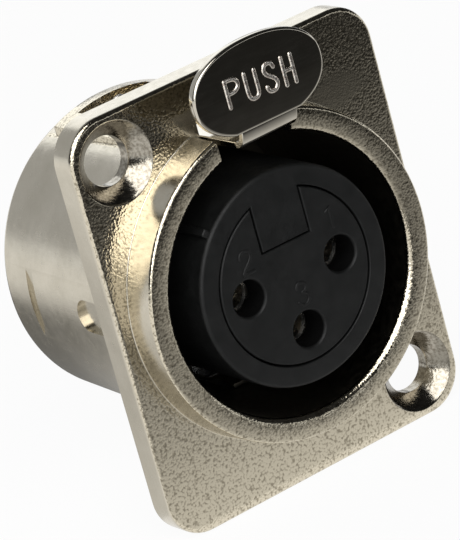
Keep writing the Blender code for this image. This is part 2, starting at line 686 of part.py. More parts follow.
def main():
    """Model every piece of the socket."""
    clear_scene()
    nickel = finish_of("nickel_plate", (0.60, 0.56, 0.50), 1.0, 0.30)
    bright_nickel = finish_of("bright_nickel", (0.62, 0.60, 0.57), 1.0, 0.12)
    spring_steel = finish_of("spring_steel", (0.55, 0.55, 0.55), 1.0, 0.25)
    black_nylon = finish_of("black_nylon", (0.020, 0.020, 0.022), 0.0, 0.50)
    black_core = finish_of("black_nylon_core", (0.020, 0.020, 0.022), 0.0, 0.50)
    silver = finish_of("silver_plate", (0.78, 0.76, 0.70), 1.0, 0.22)
    tinned = finish_of("tinned_brass", (0.66, 0.66, 0.66), 1.0, 0.30)
    phosphated = finish_of("phosphated_steel", (0.10, 0.10, 0.11), 0.8, 0.45)
    make_housing(nickel)
    make_latch(bright_nickel)
    make_spring(spring_steel)
    make_sleeve(black_nylon)
    make_core(black_core)
    for number, centre in contact_places():
        make_contact(number, centre, silver)
    make_retaining_ring(phosphated)
    make_ground_contact(tinned)


main()
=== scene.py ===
"""Studio scene of a round three-pole audio panel socket with a push latch.

Axes: the plug goes in along +Y, the latch is at the top (+Z) and +X is to the
right seen from the front. All sizes are in metres and angles in degrees. Every
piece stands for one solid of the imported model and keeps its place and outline.
"""
from __future__ import annotations

import logging
import math
from collections.abc import Callable
from dataclasses import dataclass
from enum import Enum

import bmesh
import bpy
from bpy.types import Material, Node, NodeSocket, Object
from mathutils import Matrix, Vector


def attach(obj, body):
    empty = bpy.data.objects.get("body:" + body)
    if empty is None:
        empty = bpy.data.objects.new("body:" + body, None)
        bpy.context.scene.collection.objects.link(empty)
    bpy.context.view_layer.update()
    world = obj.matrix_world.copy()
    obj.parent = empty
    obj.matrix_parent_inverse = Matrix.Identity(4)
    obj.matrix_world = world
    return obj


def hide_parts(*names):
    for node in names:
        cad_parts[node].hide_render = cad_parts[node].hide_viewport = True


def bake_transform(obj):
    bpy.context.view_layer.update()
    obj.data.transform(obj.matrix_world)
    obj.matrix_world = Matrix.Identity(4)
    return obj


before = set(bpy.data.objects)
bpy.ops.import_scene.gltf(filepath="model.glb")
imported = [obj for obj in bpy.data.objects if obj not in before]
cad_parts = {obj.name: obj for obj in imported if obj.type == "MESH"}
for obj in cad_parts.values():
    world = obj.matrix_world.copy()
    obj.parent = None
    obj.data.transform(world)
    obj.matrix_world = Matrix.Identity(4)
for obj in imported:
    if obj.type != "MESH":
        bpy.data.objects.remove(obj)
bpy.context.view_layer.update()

log = logging.getLogger("panel_socket")

Point = tuple[float, float]
Triple = tuple[float, float, float]
Colour = Triple
Outline = list[Point]
Layer = tuple[Outline, float]

QUARTER = math.pi / 2
ENLARGED = 1000.0  # scale at which solids are cut and joined
PAST = 0.001  # how far a tool reaches past the face that it opens
HAIR = 0.00001  # keeps two faces out of one plane


class Body(Enum):
    """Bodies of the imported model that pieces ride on."""

    HOUSING = "housing"
    LATCH = "latch"


class Zone(Enum):
    """Material slots of the housing, by the look of their faces."""

    GRAIN = 0
    SATIN = 1
    # painted shade: faces inside the bore take nickel darkened for the shade there
    BORE_PAINTED_SHADE = 2
    # painted shade: the countersinks take nickel darkened for the shade they show
    SINK_PAINTED_SHADE = 3


class Join(Enum):
    """Ways to bring solids together."""

    CUT = "DIFFERENCE"
    ADD = "UNION"


# Outlines and meshes


def about(middle: float, half: float) -> Point:
    """Low and high end of a length about its middle."""
    return (middle - half, middle + half)


def shifted(points: Outline, origin: Point, unit: float) -> Outline:
    """Scale points by a unit and move them to an origin."""
    return [(origin[0] + a * unit, origin[1] + b * unit) for a, b in points]


def arc(centre: Point, radius: float, start: float, end: float, steps: int) -> Outline:
    """Points of an arc in a plane.

    Args:
        centre: Centre of the arc.
        radius: Its radius.
        start: First angle.
        end: Last angle.
        steps: Number of straight steps between them.

    Returns:
        The points, both ends included.
    """
    turns = [math.radians(start + (end - start) * i / steps) for i in range(steps + 1)]
    return [(centre[0] + radius * math.cos(turn), centre[1] + radius * math.sin(turn)) for turn in turns]


def smooth_path(points: Outline, steps: int = 6) -> Outline:
    """Run a smooth curve through a few points.

    Args:
        points: Points that the curve passes through.
        steps: Steps between two of them.

    Returns:
        The points of the finer curve.
    """
    ends = [points[0], *points, points[-1]]
    path: Outline = []
    for four in zip(ends, ends[1:], ends[2:], ends[3:]):
        for i in range(steps):
            t = i / steps
            path.append(tuple(0.5 * (2 * b + (c - a) * t + (2 * a - 5 * b + 4 * c - d) * t ** 2
                                     + (3 * b - a - 3 * c + d) * t ** 3) for a, b, c, d in zip(*four)))
    return [*path, points[-1]]


def rounded(outline: Callable[[float], Outline], width: float, face: float, steps: int,
            inward: float = 1.0) -> list[Layer]:
    """Layers of a quarter-round edge, from the side to the face.

    Args:
        outline: Gives the outline moved in by a length.
        width: Width of the rounding.
        face: Depth y of the face.
        steps: Number of flats in it.
        inward: 1 for a face at the front, -1 for one at the rear.

    Returns:
        The outlines, each with its y.
    """
    turns = [QUARTER * i / steps for i in range(steps + 1)]
    return [(outline(width * (1 - math.cos(turn))), face + inward * width * (1 - math.sin(turn)))
            for turn in turns]


def add_object(name: str, data: bpy.types.ID) -> Object:
    """Add an object to the scene.

    Args:
        name: Name of the object.
        data: Its mesh, curve, lamp or camera.

    Returns:
        The new object.
    """
    added = bpy.data.objects.new(name, data)
    bpy.context.scene.collection.objects.link(added)
    return added


def to_piece(name: str, bm: bmesh.types.BMesh) -> Object:
    """Turn a closed mesh into an object of the scene.

    Args:
        name: Name of the object.
        bm: The mesh, which is freed.

    Returns:
        The new object.
    """
    bmesh.ops.remove_doubles(bm, verts=bm.verts, dist=1e-8)
    bmesh.ops.recalc_face_normals(bm, faces=bm.faces)
    mesh = bpy.data.meshes.new(name)
    bm.to_mesh(mesh)
    bm.free()
    return add_object(name, mesh)


def skin(bm: bmesh.types.BMesh, loops: list[list[bmesh.types.BMVert]]) -> None:
    """Close a stack of loops with as many corners each.

    Args:
        bm: Mesh that holds them.
        loops: Corners of each loop, from one end to the other.
    """
    bm.faces.new(loops[0])
    bm.faces.new(loops[-1])
    for lower, upper in zip(loops, loops[1:]):
        for k in range(len(lower)):
            bm.faces.new((lower[k - 1], lower[k], upper[k], upper[k - 1]))


def lathe(name: str, profile: Outline, sides: int, centre: Point = (0.0, 0.0)) -> Object:
    """Spin a profile of (radius, y) points round an axis along Y.

    Args:
        name: Name of the object.
        profile: Points from one end on the axis to the other.
        sides: Number of flats round the axis.
        centre: Place (x, z) of the axis.

    Returns:
        The turned solid.
    """
    bm = bmesh.new()
    turns = [2 * math.pi * (i + 0.5) / sides for i in range(sides)]
    rings = []
    for radius, y in profile:
        rings.append([
            bm.verts.new((centre[0] + radius * math.cos(turn), y, centre[1] + radius * math.sin(turn)))
            for turn in (turns if radius else turns[:1])])
    for lower, upper in zip(rings, rings[1:]):
        for i in range(sides):
            j = (i + 1) % sides
            corners = list(dict.fromkeys((lower[i % len(lower)], lower[j % len(lower)],
                                          upper[j % len(upper)], upper[i % len(upper)])))
            if len(corners) > 2:
                bm.faces.new(corners)
    return to_piece(name, bm)


def prism(name: str, outline: list[Triple], along: Triple) -> Object:
    """Extrude a flat outline.

    Args:
        name: Name of the object.
        outline: Corner points of the flat face.
        along: Vector of the extrusion.

    Returns:
        The prism.
    """
    bm = bmesh.new()
    face = bm.faces.new([bm.verts.new(point) for point in outline])
    grown = bmesh.ops.extrude_face_region(bm, geom=[face])
    verts = [item for item in grown["geom"] if isinstance(item, bmesh.types.BMVert)]
    bmesh.ops.translate(bm, verts=verts, vec=along)
    return to_piece(name, bm)


def side_prism(name: str, outline: Outline, half: float) -> Object:
    """Extrude an outline of (y, z) points across X, centred on X = 0."""
    return prism(name, [(-half, y, z) for y, z in outline], (2 * half, 0.0, 0.0))


def front_prism(name: str, outline: Outline, front: float, rear: float) -> Object:
    """Extrude an outline of (x, z) points along Y."""
    return prism(name, [(x, front, z) for x, z in outline], (0.0, rear - front, 0.0))


def block(name: str, x: Point, y: Point, z: Point) -> Object:
    """Make a block from its three (low, high) pairs."""
    return front_prism(name, [(x[0], z[0]), (x[1], z[0]), (x[1], z[1]), (x[0], z[1])], y[0], y[1])


def layered(name: str, layers: list[Layer]) -> Object:
    """Skin a stack of outlines into a closed solid.

    Args:
        name: Name of the object.
        layers: The (x, z) outlines, each with its y.

    Returns:
        The solid.
    """
    bm = bmesh.new()
    skin(bm, [[bm.verts.new((x, y, z)) for x, z in outline] for outline, y in layers])
    return to_piece(name, bm)


def final_mesh(shape: Object) -> bpy.types.Mesh:
    """Give a new mesh of an object as it is drawn."""
    bpy.context.view_layer.update()
    return bpy.data.meshes.new_from_object(shape.evaluated_get(bpy.context.evaluated_depsgraph_get()))


def bake(piece: Object) -> None:
    """Apply every modifier of a piece to its mesh.

    Args:
        piece: The piece that changes.
    """
    old = piece.data
    piece.data = final_mesh(piece)
    piece.modifiers.clear()
    bpy.data.meshes.remove(old)
    piece.data.name = piece.name


def combine(piece: Object, tools: list[Object], join: Join) -> None:
    """Cut tools from a piece or join them to it, then remove them.

    Args:
        piece: The piece that changes.
        tools: Closed solids.
        join: What is done with them.
    """
    for part in (piece, *tools):
        part.data.transform(Matrix.Scale(ENLARGED, 4))
    for tool in tools:
        modifier = piece.modifiers.new(tool.name, "BOOLEAN")
        modifier.operation = join.value
        modifier.solver = "EXACT"
        modifier.object = tool
    bake(piece)
    piece.data.transform(Matrix.Scale(1.0 / ENLARGED, 4))
    for tool in tools:
        mesh = tool.data
        bpy.data.objects.remove(tool, do_unlink=True)
        bpy.data.meshes.remove(mesh)


def round_edges(piece: Object, width: float, segments: int = 2, angle: float = 40.0) -> None:
    """Round the sharp edges of a simple piece.

    Args:
        piece: The piece that changes.
        width: Width of the rounding.
        segments: Number of flats in it.
        angle: Smallest angle between faces that gets rounded.
    """
    modifier = piece.modifiers.new("edges", "BEVEL")
    modifier.width = width
    modifier.segments = segments
    modifier.limit_method = "ANGLE"
    modifier.angle_limit = math.radians(angle)
    bake(piece)


def dress(piece: Object, finishes: list[Material],
          choose: Callable[[Vector, Vector], int] | None = None) -> None:
    """Give a piece its finishes.

    Args:
        piece: The piece that changes.
        finishes: Its materials.
        choose: Gives the number of a face's material from its middle and normal, where there are more.
    """
    for finish in finishes:
        piece.data.materials.append(finish)
    if choose:
        for face in piece.data.polygons:
            face.material_index = choose(face.center, face.normal)


def settle(piece: Object, body: Body, nodes: tuple[str, ...] = (), sharp: float = 32.0,
           pressed: tuple[Vector, Vector] | None = None) -> None:
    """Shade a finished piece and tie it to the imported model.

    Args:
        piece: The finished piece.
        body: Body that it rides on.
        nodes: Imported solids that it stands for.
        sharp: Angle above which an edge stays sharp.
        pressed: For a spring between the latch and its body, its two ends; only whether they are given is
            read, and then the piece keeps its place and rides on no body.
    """
    piece.data.shade_smooth()
    piece.data.set_sharp_from_angle(angle=math.radians(sharp))
    weighted = piece.modifiers.new("normals", "WEIGHTED_NORMAL")
    weighted.mode = "FACE_AREA"
    weighted.weight = 90
    weighted.keep_sharp = True
    if pressed:
        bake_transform(piece)
    else:
        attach(piece, body.value)
    if nodes:
        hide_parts(*nodes)
    log.info("%s: %d faces on body %s", piece.name, len(piece.data.polygons), body.value)


# Finishes


@dataclass(frozen=True)
class Noise:
    """Soft noise: size of its spots, finer layers, levels it is read between, depth as a relief, stretch."""

    size: float
    detail: float
    reach: Point = (0.3, 0.7)
    depth: float = 0.0
    stretch: Triple | None = None


class Wiring:
    """Shader nodes of one tree, added and joined by short calls."""

    def __init__(self, tree: bpy.types.NodeTree, place: str) -> None:
        """Start on a tree, with the kind of place that its textures read."""
        self.tree = tree
        self.place = self.node("TexCoord").outputs[place]

    def node(self, kind: str, inputs: dict[str | int, object] | None = None, **settings: object) -> Node:
        """Add a node.

        Args:
            kind: Node type without its common prefix.
            inputs: Constants or sources for its inputs.
            settings: Values of its own options.

        Returns:
            The new node.
        """
        made = self.tree.nodes.new("ShaderNode" + kind)
        for key, value in settings.items():
            setattr(made, key, value)
        for key, value in (inputs or {}).items():
            if isinstance(value, NodeSocket):
                self.tree.links.new(value, made.inputs[key])
            else:
                made.inputs[key].default_value = value
        return made

    def math(self, operation: str, a: NodeSocket | float, b: NodeSocket | float) -> NodeSocket:
        """Join two values by an operation."""
        return self.node("Math", {0: a, 1: b}, operation=operation).outputs[0]

    def span(self, source: NodeSocket, reach: Point, result: Point, shape: str = "LINEAR") -> NodeSocket:
        """Map one range of values to another.

        Args:
            source: Value to map.
            reach: Its first and last value.
            result: What comes out for them.
            shape: Kind of step between them.

        Returns:
            The mapped value.
        """
        ends = dict(zip(("From Min", "From Max", "To Min", "To Max"), (*reach, *result)))
        return self.node("MapRange", {"Value": source, **ends}, interpolation_type=shape).outputs["Result"]

    def noise(self, noise: Noise) -> NodeSocket:
        """Add soft noise.

        Args:
            noise: Its sizes.

        Returns:
            A value round 0.5.
        """
        place = self.place
        if noise.stretch:
            place = self.node("Mapping", {"Vector": place, "Scale": noise.stretch}).outputs["Vector"]
        sizes = {"Scale": 1.0 / noise.size, "Detail": noise.detail, "Roughness": 0.55}
        return self.node("TexNoise", {"Vector": place, **sizes}).outputs["Fac"]

    def level(self, noise: Noise, result: Point) -> NodeSocket:
        """Read soft noise between its levels."""
        return self.span(self.noise(noise), noise.reach, result)

    def distance(self, centre: Triple, share: Triple) -> NodeSocket:
        """Measure how far a place is from a centre.

        Args:
            centre: The centre.
            share: What a metre counts along each axis.

        Returns:
            The distance.
        """
        moved = self.node("VectorMath", {0: self.place, 1: centre}, operation="SUBTRACT")
        scaled = self.node("VectorMath", {0: moved.outputs["Vector"], 1: share}, operation="MULTIPLY")
        return self.node("VectorMath", {0: scaled.outputs["Vector"]}, operation="LENGTH").outputs["Value"]

    def ramp(self, source: NodeSocket, stops: list[tuple[float, Colour]]) -> NodeSocket:
        """Colour a value by a ramp.

        Args:
            source: Value from 0 to 1.
            stops: Places and colours, from low to high.

        Returns:
            The colour.
        """
        ramp = self.node("ValToRGB", {"Fac": source})
        elements = ramp.color_ramp.elements
        while len(elements) < len(stops):
            elements.new(0.5)
        for element, (place, colour) in zip(elements, stops):
            element.position = place
            element.color = (*colour, 1.0)
        return ramp.outputs["Color"]

    def bump(self, height: NodeSocket, depth: float, under: NodeSocket | None = None) -> NodeSocket:
        """Turn a height into a bumped normal.

        Args:
            height: Height from 0 to 1.
            depth: What a height of 1 stands for, in metres.
            under: Normal of a coarser relief below it.

        Returns:
            The normal.
        """
        inputs = {"Height": height, "Distance": depth, "Strength": 1.0}
        if under:
            inputs["Normal"] = under
        return self.node("Bump", inputs).outputs["Normal"]


class Surface(Wiring):
    """Nodes of one material with one Principled shader."""

    def __init__(self, name: str, colour: Colour, metallic: float, roughness: float,
                 gloss: float = 0.5) -> None:
        """Start the material.

        Args:
            name: Its name.
            colour: Its plain colour.
            metallic: Its metallic value.
            roughness: Its plain roughness.
            gloss: Its specular level.
        """
        self.material = bpy.data.materials.new(name)
        self.material.use_nodes = True
        super().__init__(self.material.node_tree, "Object")
        self.shader = self.tree.nodes["Principled BSDF"]
        constants = {"Base Color": (*colour, 1.0), "Metallic": metallic, "Roughness": roughness,
                     "Specular IOR Level": gloss}
        for socket, value in constants.items():
            self.shader.inputs[socket].default_value = value

    def feed(self, socket: str, source: NodeSocket) -> None:
        """Join a source to a socket of the shader."""
        self.tree.links.new(source, self.shader.inputs[socket])

    def show(self, shader: NodeSocket) -> None:
        """Make another shader the one that shows."""
        self.tree.links.new(shader, self.tree.nodes["Material Output"].inputs["Surface"])


@dataclass(frozen=True)
class CastNickel:
    """Nickel plate over the leathery grain of a die casting."""

    colour: Colour = (0.70, 0.635, 0.50)
    shade: Colour = (0.34, 0.30, 0.225)
    grain: float = 0.00018
    relief: float = 0.000011
    pebble: float = 0.7
    fine: Noise = Noise(0.00009, 2.0, depth=0.000004)
    roughness: Point = (0.09, 0.16)
    patch: Point = (0.0089, 0.0099)
    patch_reach: Point = (0.0026, 0.00135)
    patch_height: float = 0.95

    def material(self) -> Material:
        """Make the material, with the smooth patch beside the latch.

        Returns:
            The material.
        """
        w = Surface("cast_nickel", self.colour, 1.0, self.roughness[0])
        cells = w.node("TexVoronoi", {"Vector": w.place, "Scale": 1.0 / self.grain, "Smoothness": 0.7},
                       feature="SMOOTH_F1")
        pebbles = w.span(cells.outputs["Distance"], (0.15, 0.75), (1.0, 0.0))
        height = w.math("ADD", w.math("MULTIPLY", pebbles, self.pebble), w.noise(Noise(self.grain, 1.0)))
        away = w.distance((self.patch[0], 0.0, self.patch[1]),
                          (1.0 / self.patch_reach[0], 0.0, 1.0 / self.patch_reach[1]))
        grained = w.span(away, (0.7, 1.15), (0.2, 1.0))
        lifted = w.math("SUBTRACT", height, self.patch_height)
        height = w.math("ADD", w.math("MULTIPLY", lifted, grained), self.patch_height)
        under = w.bump(height, self.relief)
        w.feed("Normal", w.bump(w.noise(self.fine), self.fine.depth, under))
        tone = w.span(height, (0.45, 1.1), (0.0, 1.0))
        w.feed("Base Color", w.ramp(tone, [(0.0, self.shade), (0.6, self.colour)]))
        w.feed("Roughness", w.level(Noise(self.grain * 4.0, 3.0, (0.35, 0.65)), self.roughness))
        return w.material


@dataclass(frozen=True)
class Finish:
    """Finish whose tone, roughness and relief each follow soft noise.

    The tone's levels are those of the shade and of the plain colour. A finish without a shade keeps its
    colour all over.
    """

    name: str
    colour: Colour
    shade: Colour | None
    roughness: Point
    tone: Noise | None
    dull: Noise
    relief: tuple[Noise, ...]
    metallic: float = 1.0
    gloss: float = 0.5

    def material(self) -> Material:
        """Make the material.

        Returns:
            The material.
        """
        w = Surface(self.name, self.colour, self.metallic, self.roughness[0], self.gloss)
        if self.shade and self.tone:
            tones = [(0.0, self.shade), (1.0, self.colour)]
            w.feed("Base Color", w.ramp(w.level(self.tone, (0.0, 1.0)), tones))
        w.feed("Roughness", w.level(self.dull, self.roughness))
        normal = None
        for layer in self.relief:
            normal = w.bump(w.noise(layer), layer.depth, normal)
        w.feed("Normal", normal)
        return w.material


@dataclass(frozen=True)
class SatinNickel(Finish):
    """Smooth satin nickel of the barrel and the flange's sides."""

    name: str = "satin_nickel"
    colour: Colour = (0.66, 0.61, 0.51)
    shade: Colour = (0.57, 0.525, 0.43)
    roughness: Point = (0.16, 0.28)
    tone: Noise = Noise(0.0028, 4.0)
    dull: Noise = Noise(0.0006, 4.0)
    relief: tuple[Noise, ...] = (Noise(0.0016, 2.0, depth=0.000012),
                                 Noise(0.00016, 2.0, depth=0.0000025, stretch=(1.0, 0.18, 1.0)))


@dataclass(frozen=True)
class SinkNickelPaintedShade(Finish):
    """Glossy, faintly pitted nickel of the countersunk screw holes, coloured darker than the flange's nickel
    as painted shade.
    """

    name: str = "sink_nickel_painted_shade"
    colour: Colour = (0.41, 0.38, 0.32)
    shade: Colour = (0.22, 0.195, 0.155)
    roughness: Point = (0.09, 0.17)
    tone: Noise = Noise(0.00022, 3.0, (0.34, 0.60))
    dull: Noise = Noise(0.0008, 2.0)
    relief: tuple[Noise, ...] = (Noise(0.00022, 3.0, depth=0.000012),)


@dataclass(frozen=True)
class BoreNickelPaintedShade(Finish):
    """Nickel inside the bore, darkened as painted shade for the deep bore."""

    name: str = "bore_nickel_painted_shade"
    colour: Colour = (0.11, 0.10, 0.08)
    shade: None = None
    roughness: Point = (0.28, 0.42)
    tone: None = None
    dull: Noise = Noise(0.0005, 3.0)
    relief: tuple[Noise, ...] = (Noise(0.0004, 3.0, depth=0.000006),)


@dataclass(frozen=True)
class BrightNickel(Finish):
    """Bright nickel of the pressed latch, with hairlines and faint waves."""

    name: str = "bright_nickel"
    colour: Colour = (0.62, 0.58, 0.50)
    shade: Colour = (0.54, 0.50, 0.42)
    roughness: Point = (0.05, 0.12)
    tone: Noise = Noise(0.0018, 3.0)
    dull: Noise = Noise(0.00022, 3.0, (0.35, 0.7), stretch=(0.12, 1.0, 1.0))
    relief: tuple[Noise, ...] = (Noise(0.0022, 1.0, depth=0.000010),
                                 Noise(0.00022, 3.0, depth=0.0000008, stretch=(0.12, 1.0, 1.0)))


@dataclass(frozen=True)
class StampedNickelPaintedHighlight(Finish):
    """Nickel of the raised strokes on the latch, coloured far brighter than the plate and in uneven patches
    as painted highlight.
    """

    name: str = "stamped_nickel_painted_highlight"
    colour: Colour = (0.92, 0.87, 0.79)
    shade: Colour = (0.60, 0.52, 0.46)
    roughness: Point = (0.20, 0.36)
    tone: Noise = Noise(0.00028, 2.0, (0.36, 0.54))
    dull: Noise = Noise(0.0002, 3.0)
    relief: tuple[Noise, ...] = (Noise(0.00028, 2.0, depth=0.000030),)


@dataclass(frozen=True)
class MouldedNylon(Finish):
    """Matte black nylon with a fine moulded texture and paler worn spots."""

    name: str = "moulded_nylon"
    colour: Colour = (0.0044, 0.0047, 0.0046)
    shade: Colour = (0.0085, 0.0088, 0.0086)
    roughness: Point = (0.40, 0.56)
    tone: Noise = Noise(0.0014, 5.0, (0.72, 0.35))
    dull: Noise = Noise(0.0004, 4.0)
    relief: tuple[Noise, ...] = (Noise(0.0007, 2.0, depth=0.000010), Noise(0.00009, 2.0, depth=0.0000035))
    metallic: float = 0.0
    gloss: float = 0.28


@dataclass(frozen=True)
class TurnedMetal(Finish):
    """Turned or drawn metal with rings round its axis and a spotty tarnish, which is its shade."""

    roughness: Point = (0.18, 0.34)
    tone: Noise = Noise(0.0009, 5.0, (0.68, 0.42))
    dull: Noise = Noise(0.0009, 5.0)
    relief: tuple[Noise, ...] = (Noise(0.00012, 2.0, depth=0.000003, stretch=(0.1, 1.0, 0.1)),)


# Sub-assemblies


@dataclass
class Housing:
    """Die-cast flange, collar and barrel in one piece."""

    width: float = 0.0260
    height: float = 0.0310
    thickness: float = 0.0022
    corner: float = 0.0030
    edge: float = 0.00035
    rear_edge: float = 0.00012
    screw: Point = (0.0095, 0.0120)
    screw_radius: float = 0.00175
    sink_rim: float = 0.00286
    sink_depth: float = 0.00125
    lip: float = 0.00012
    bore: float = 0.0100
    bore_deep: float = 0.0098
    mouth: float = 0.00042
    collar: float = 0.01175
    collar_face: float = -0.0048
    flare: float = 0.00015
    fillet: float = 0.00009
    collar_edge: float = 0.00025
    barrel: float = 0.0116
    barrel_rear_radius: float = 0.01105
    barrel_rear: float = 0.0158
    barrel_edge: float = 0.0006
    barrel_fillet: float = 0.0004
    overlap: float = 0.0002
    shoulder: Point = (0.0096, 0.0109)
    shoulder_radius: float = 0.00815
    seat: float = 0.0100
    groove: Point = (0.01335, 0.0146)
    groove_radius: float = 0.0105
    boss_radius: float = 0.0118
    boss_half: float = 0.0046
    boss_rear: float = 0.0141
    slot_half: float = 0.00305
    slot_lip: float = 0.0034
    slot_round: float = 0.0011
    slot_height: Point = (0.0107, 0.0132)
    window_half: float = 0.00265
    window: Point = (0.0037, 0.01205)
    lug_half: float = 0.0033
    lug_pocket: Point = (0.0026, 0.01025)
    pocket_half: float = 0.00305
    pocket: Point = (0.0023, 0.0128)
    pocket_floor: float = 0.0101
    ramp: Triple = (0.00470, 0.00612, 0.00722)
    ramp_crest: float = 0.0111
    tongue_half: float = 0.0015
    notch_length: float = 0.0056
    notch_half: float = 0.0012
    notch_depth: float = 0.0006
    notch_rise: float = 0.0004
    grip_place: float = 0.0119
    grip_half: float = 0.00045
    grip_depth: float = 0.00033
    strip_half: float = 0.00155
    strip_groove: Triple = (0.0047, -0.01015, -0.00785)
    sides: int = 192
    finishes: tuple[CastNickel | Finish, ...] = (CastNickel(), SatinNickel(), BoreNickelPaintedShade(), SinkNickelPaintedShade())

    def flange_outline(self, inset: float) -> Outline:
        """Outline of the flange.

        Args:
            inset: How far it is moved in.

        Returns:
            Its (x, z) points.
        """
        points: Outline = []
        for sign_x, sign_z, start in ((1, 1, 0), (-1, 1, 90), (-1, -1, 180), (1, -1, 270)):
            centre = (sign_x * (self.width / 2 - self.corner), sign_z * (self.height / 2 - self.corner))
            points += arc(centre, self.corner - inset, start, start + 90, 14)
        return points

    def flange(self) -> Object:
        """Plate with round corners and a rounded front edge."""
        rear = [(self.flange_outline(self.rear_edge), 0.0), (self.flange_outline(0.0), -self.rear_edge)]
        return layered("housing_casting", rear + rounded(self.flange_outline, self.edge, -self.thickness, 8))

    def turned_body(self) -> Object:
        """Collar and barrel before the bore is cut.

        Returns:
            The turned solid.
        """
        face, front, edge = self.collar_face, -self.thickness, self.collar_edge
        foot = self.collar + self.flare + self.fillet
        root = self.barrel + self.barrel_fillet
        rear, end = self.barrel_rear_radius, self.barrel_rear
        profile = [
            (0.0, face),
            *arc((self.collar - edge, face + edge), edge, -90, 0, 7),
            *arc((foot, front - self.fillet), self.fillet, 180, 92, 7),
            (foot, front + self.overlap), (root, -self.overlap),
            *arc((root, self.barrel_fillet), self.barrel_fillet, 268, 180, 7),
            *arc((rear - self.barrel_edge, end - self.barrel_edge), self.barrel_edge, 0, 90, 8),
            (0.0, end)]
        return lathe("turned_body", profile, self.sides)

    def boss(self) -> Object:
        """Round-topped boss over the latch's pocket.

        Returns:
            The solid.
        """
        spread = math.degrees(math.asin(self.boss_half / self.boss_radius))
        low = self.bore * 0.6
        rear = self.boss_rear
        layers = []
        for inset, y in ((0.0, -self.thickness / 2), (0.0, rear - 0.00030), (0.00005, rear - 0.00015),
                         (0.00014, rear - 0.00005), (0.00030, rear)):
            top = arc((0.0, 0.0), self.boss_radius - inset, 90 - spread, 90 + spread, 25)
            layers.append(([(self.boss_half - inset, low), *top, (-self.boss_half + inset, low)], y))
        return layered("boss", layers)

    def screw_tool(self, name: str, centre: Point) -> Object:
        """Countersunk hole with a softened lip.

        Args:
            name: Name of the tool.
            centre: Place (x, z) of the hole.

        Returns:
            The tool.
        """
        front, floor = -self.thickness, self.sink_depth - self.thickness
        rim = self.sink_rim + self.lip * 1.4
        profile = [
            (0.0, front - PAST), (rim, front - PAST), (rim, front - HAIR),
            *shifted([(0.7, 0.12), (0.2, 0.42), (-1.0, 1.5)], (self.sink_rim, front), self.lip),
            (self.screw_radius + 0.00008, floor - 0.00008), (self.screw_radius + HAIR, floor + 0.00003),
            (self.screw_radius, PAST), (0.0, PAST)]
        return lathe(name, profile, 72, centre)

    def slot_tool(self) -> Object:
        """Slot in the collar, with its outer corners rounded away.

        Returns:
            The tool.
        """
        half, turn = self.slot_half, self.slot_round
        low, high = self.slot_height
        side = [(half, self.shoulder_radius + 0.0004), (half, low),
                *arc((half + turn, low), turn, 180, 118, 6), (self.slot_lip + turn, high)]
        outline = side + [(-x, z) for x, z in reversed(side)]
        return front_prism("slot_tool", outline, self.collar_face - PAST, -self.thickness + 0.00005)

    def channel_tools(self) -> list[Object]:
        """Tools that open the collar, flange and boss for the latch.

        Returns:
            The tools.
        """
        high = self.boss_radius + PAST
        front, rear = self.pocket
        foot, crest, end = self.ramp
        floor, top = self.pocket_floor, self.ramp_crest
        pocket = [(front, floor), (foot, floor), (crest, top), (end, top), (end, floor), (rear, floor),
                  (rear, high), (front, high)]
        return [
            self.slot_tool(),
            block("window_tool", about(0.0, self.window_half), (self.collar_face - 2 * PAST, self.window[0]),
                  (self.shoulder_radius, self.window[1])),
            block("lug_tool", about(0.0, self.lug_half), (HAIR, self.lug_pocket[0]),
                  (self.lug_pocket[1], high + 0.0001)),
            side_prism("pocket_tool", pocket, self.pocket_half),
            block("tongue_tool", about(0.0, self.tongue_half), (foot - 0.0003, rear + HAIR),
                  (floor - HAIR, high + 0.0002)),
        ]

    def barrel_tools(self) -> list[Object]:
        """Tools for the recesses in the barrel's sides and the strip's groove.

        Returns:
            The tools.
        """
        tools = []
        half, rise = self.notch_half, self.notch_rise
        outline = [(0.0, rise - half), (0.0, rise + half),
                   *arc((self.notch_length - half, rise), half, 90, -90, 18)]
        wall = self.barrel - (self.barrel - self.barrel_rear_radius) * self.grip_place / self.barrel_rear
        inner = wall - self.grip_depth
        for label, side in (("left", -1), ("right", 1)):
            floor = side * (self.barrel - self.notch_depth)
            corners = [(floor, y, z) for y, z in outline]
            tools.append(prism(f"notch_{label}", corners, (side * 0.0016, 0.0, 0.0)))
            tools.append(block(f"grip_{label}", tuple(sorted((side * inner, side * (wall + PAST)))),
                               about(self.grip_place, self.grip_half), about(0.0, inner / 2)))
        front, low, high = self.strip_groove
        tools.append(block("strip_groove", about(0.0, self.strip_half), (front, self.barrel_rear + PAST),
                           (low, high)))
        return tools

    def bore_tool(self) -> Object:
        """Stepped bore with a rounded mouth.

        Returns:
            The tool.
        """
        face, mouth = self.collar_face, self.bore + self.mouth
        front, rear = self.shoulder
        first, last = self.groove
        end = self.barrel_rear + PAST
        profile = [
            (0.0, face - PAST), (mouth + PAST, face - PAST), (mouth + 0.00004, face - 0.00002),
            *shifted([(0.55, 0.22), (0.25, 0.45), (0.07, 0.75), (0.0, 1.0)], (self.bore, face), self.mouth),
            (self.bore_deep, front), (self.shoulder_radius, front), (self.shoulder_radius, rear),
            (self.seat, rear), (self.seat, first), (self.groove_radius, first), (self.groove_radius, last),
            (self.seat, last), (self.seat, end), (0.0, end)]
        return lathe("bore_tool", profile, self.sides)

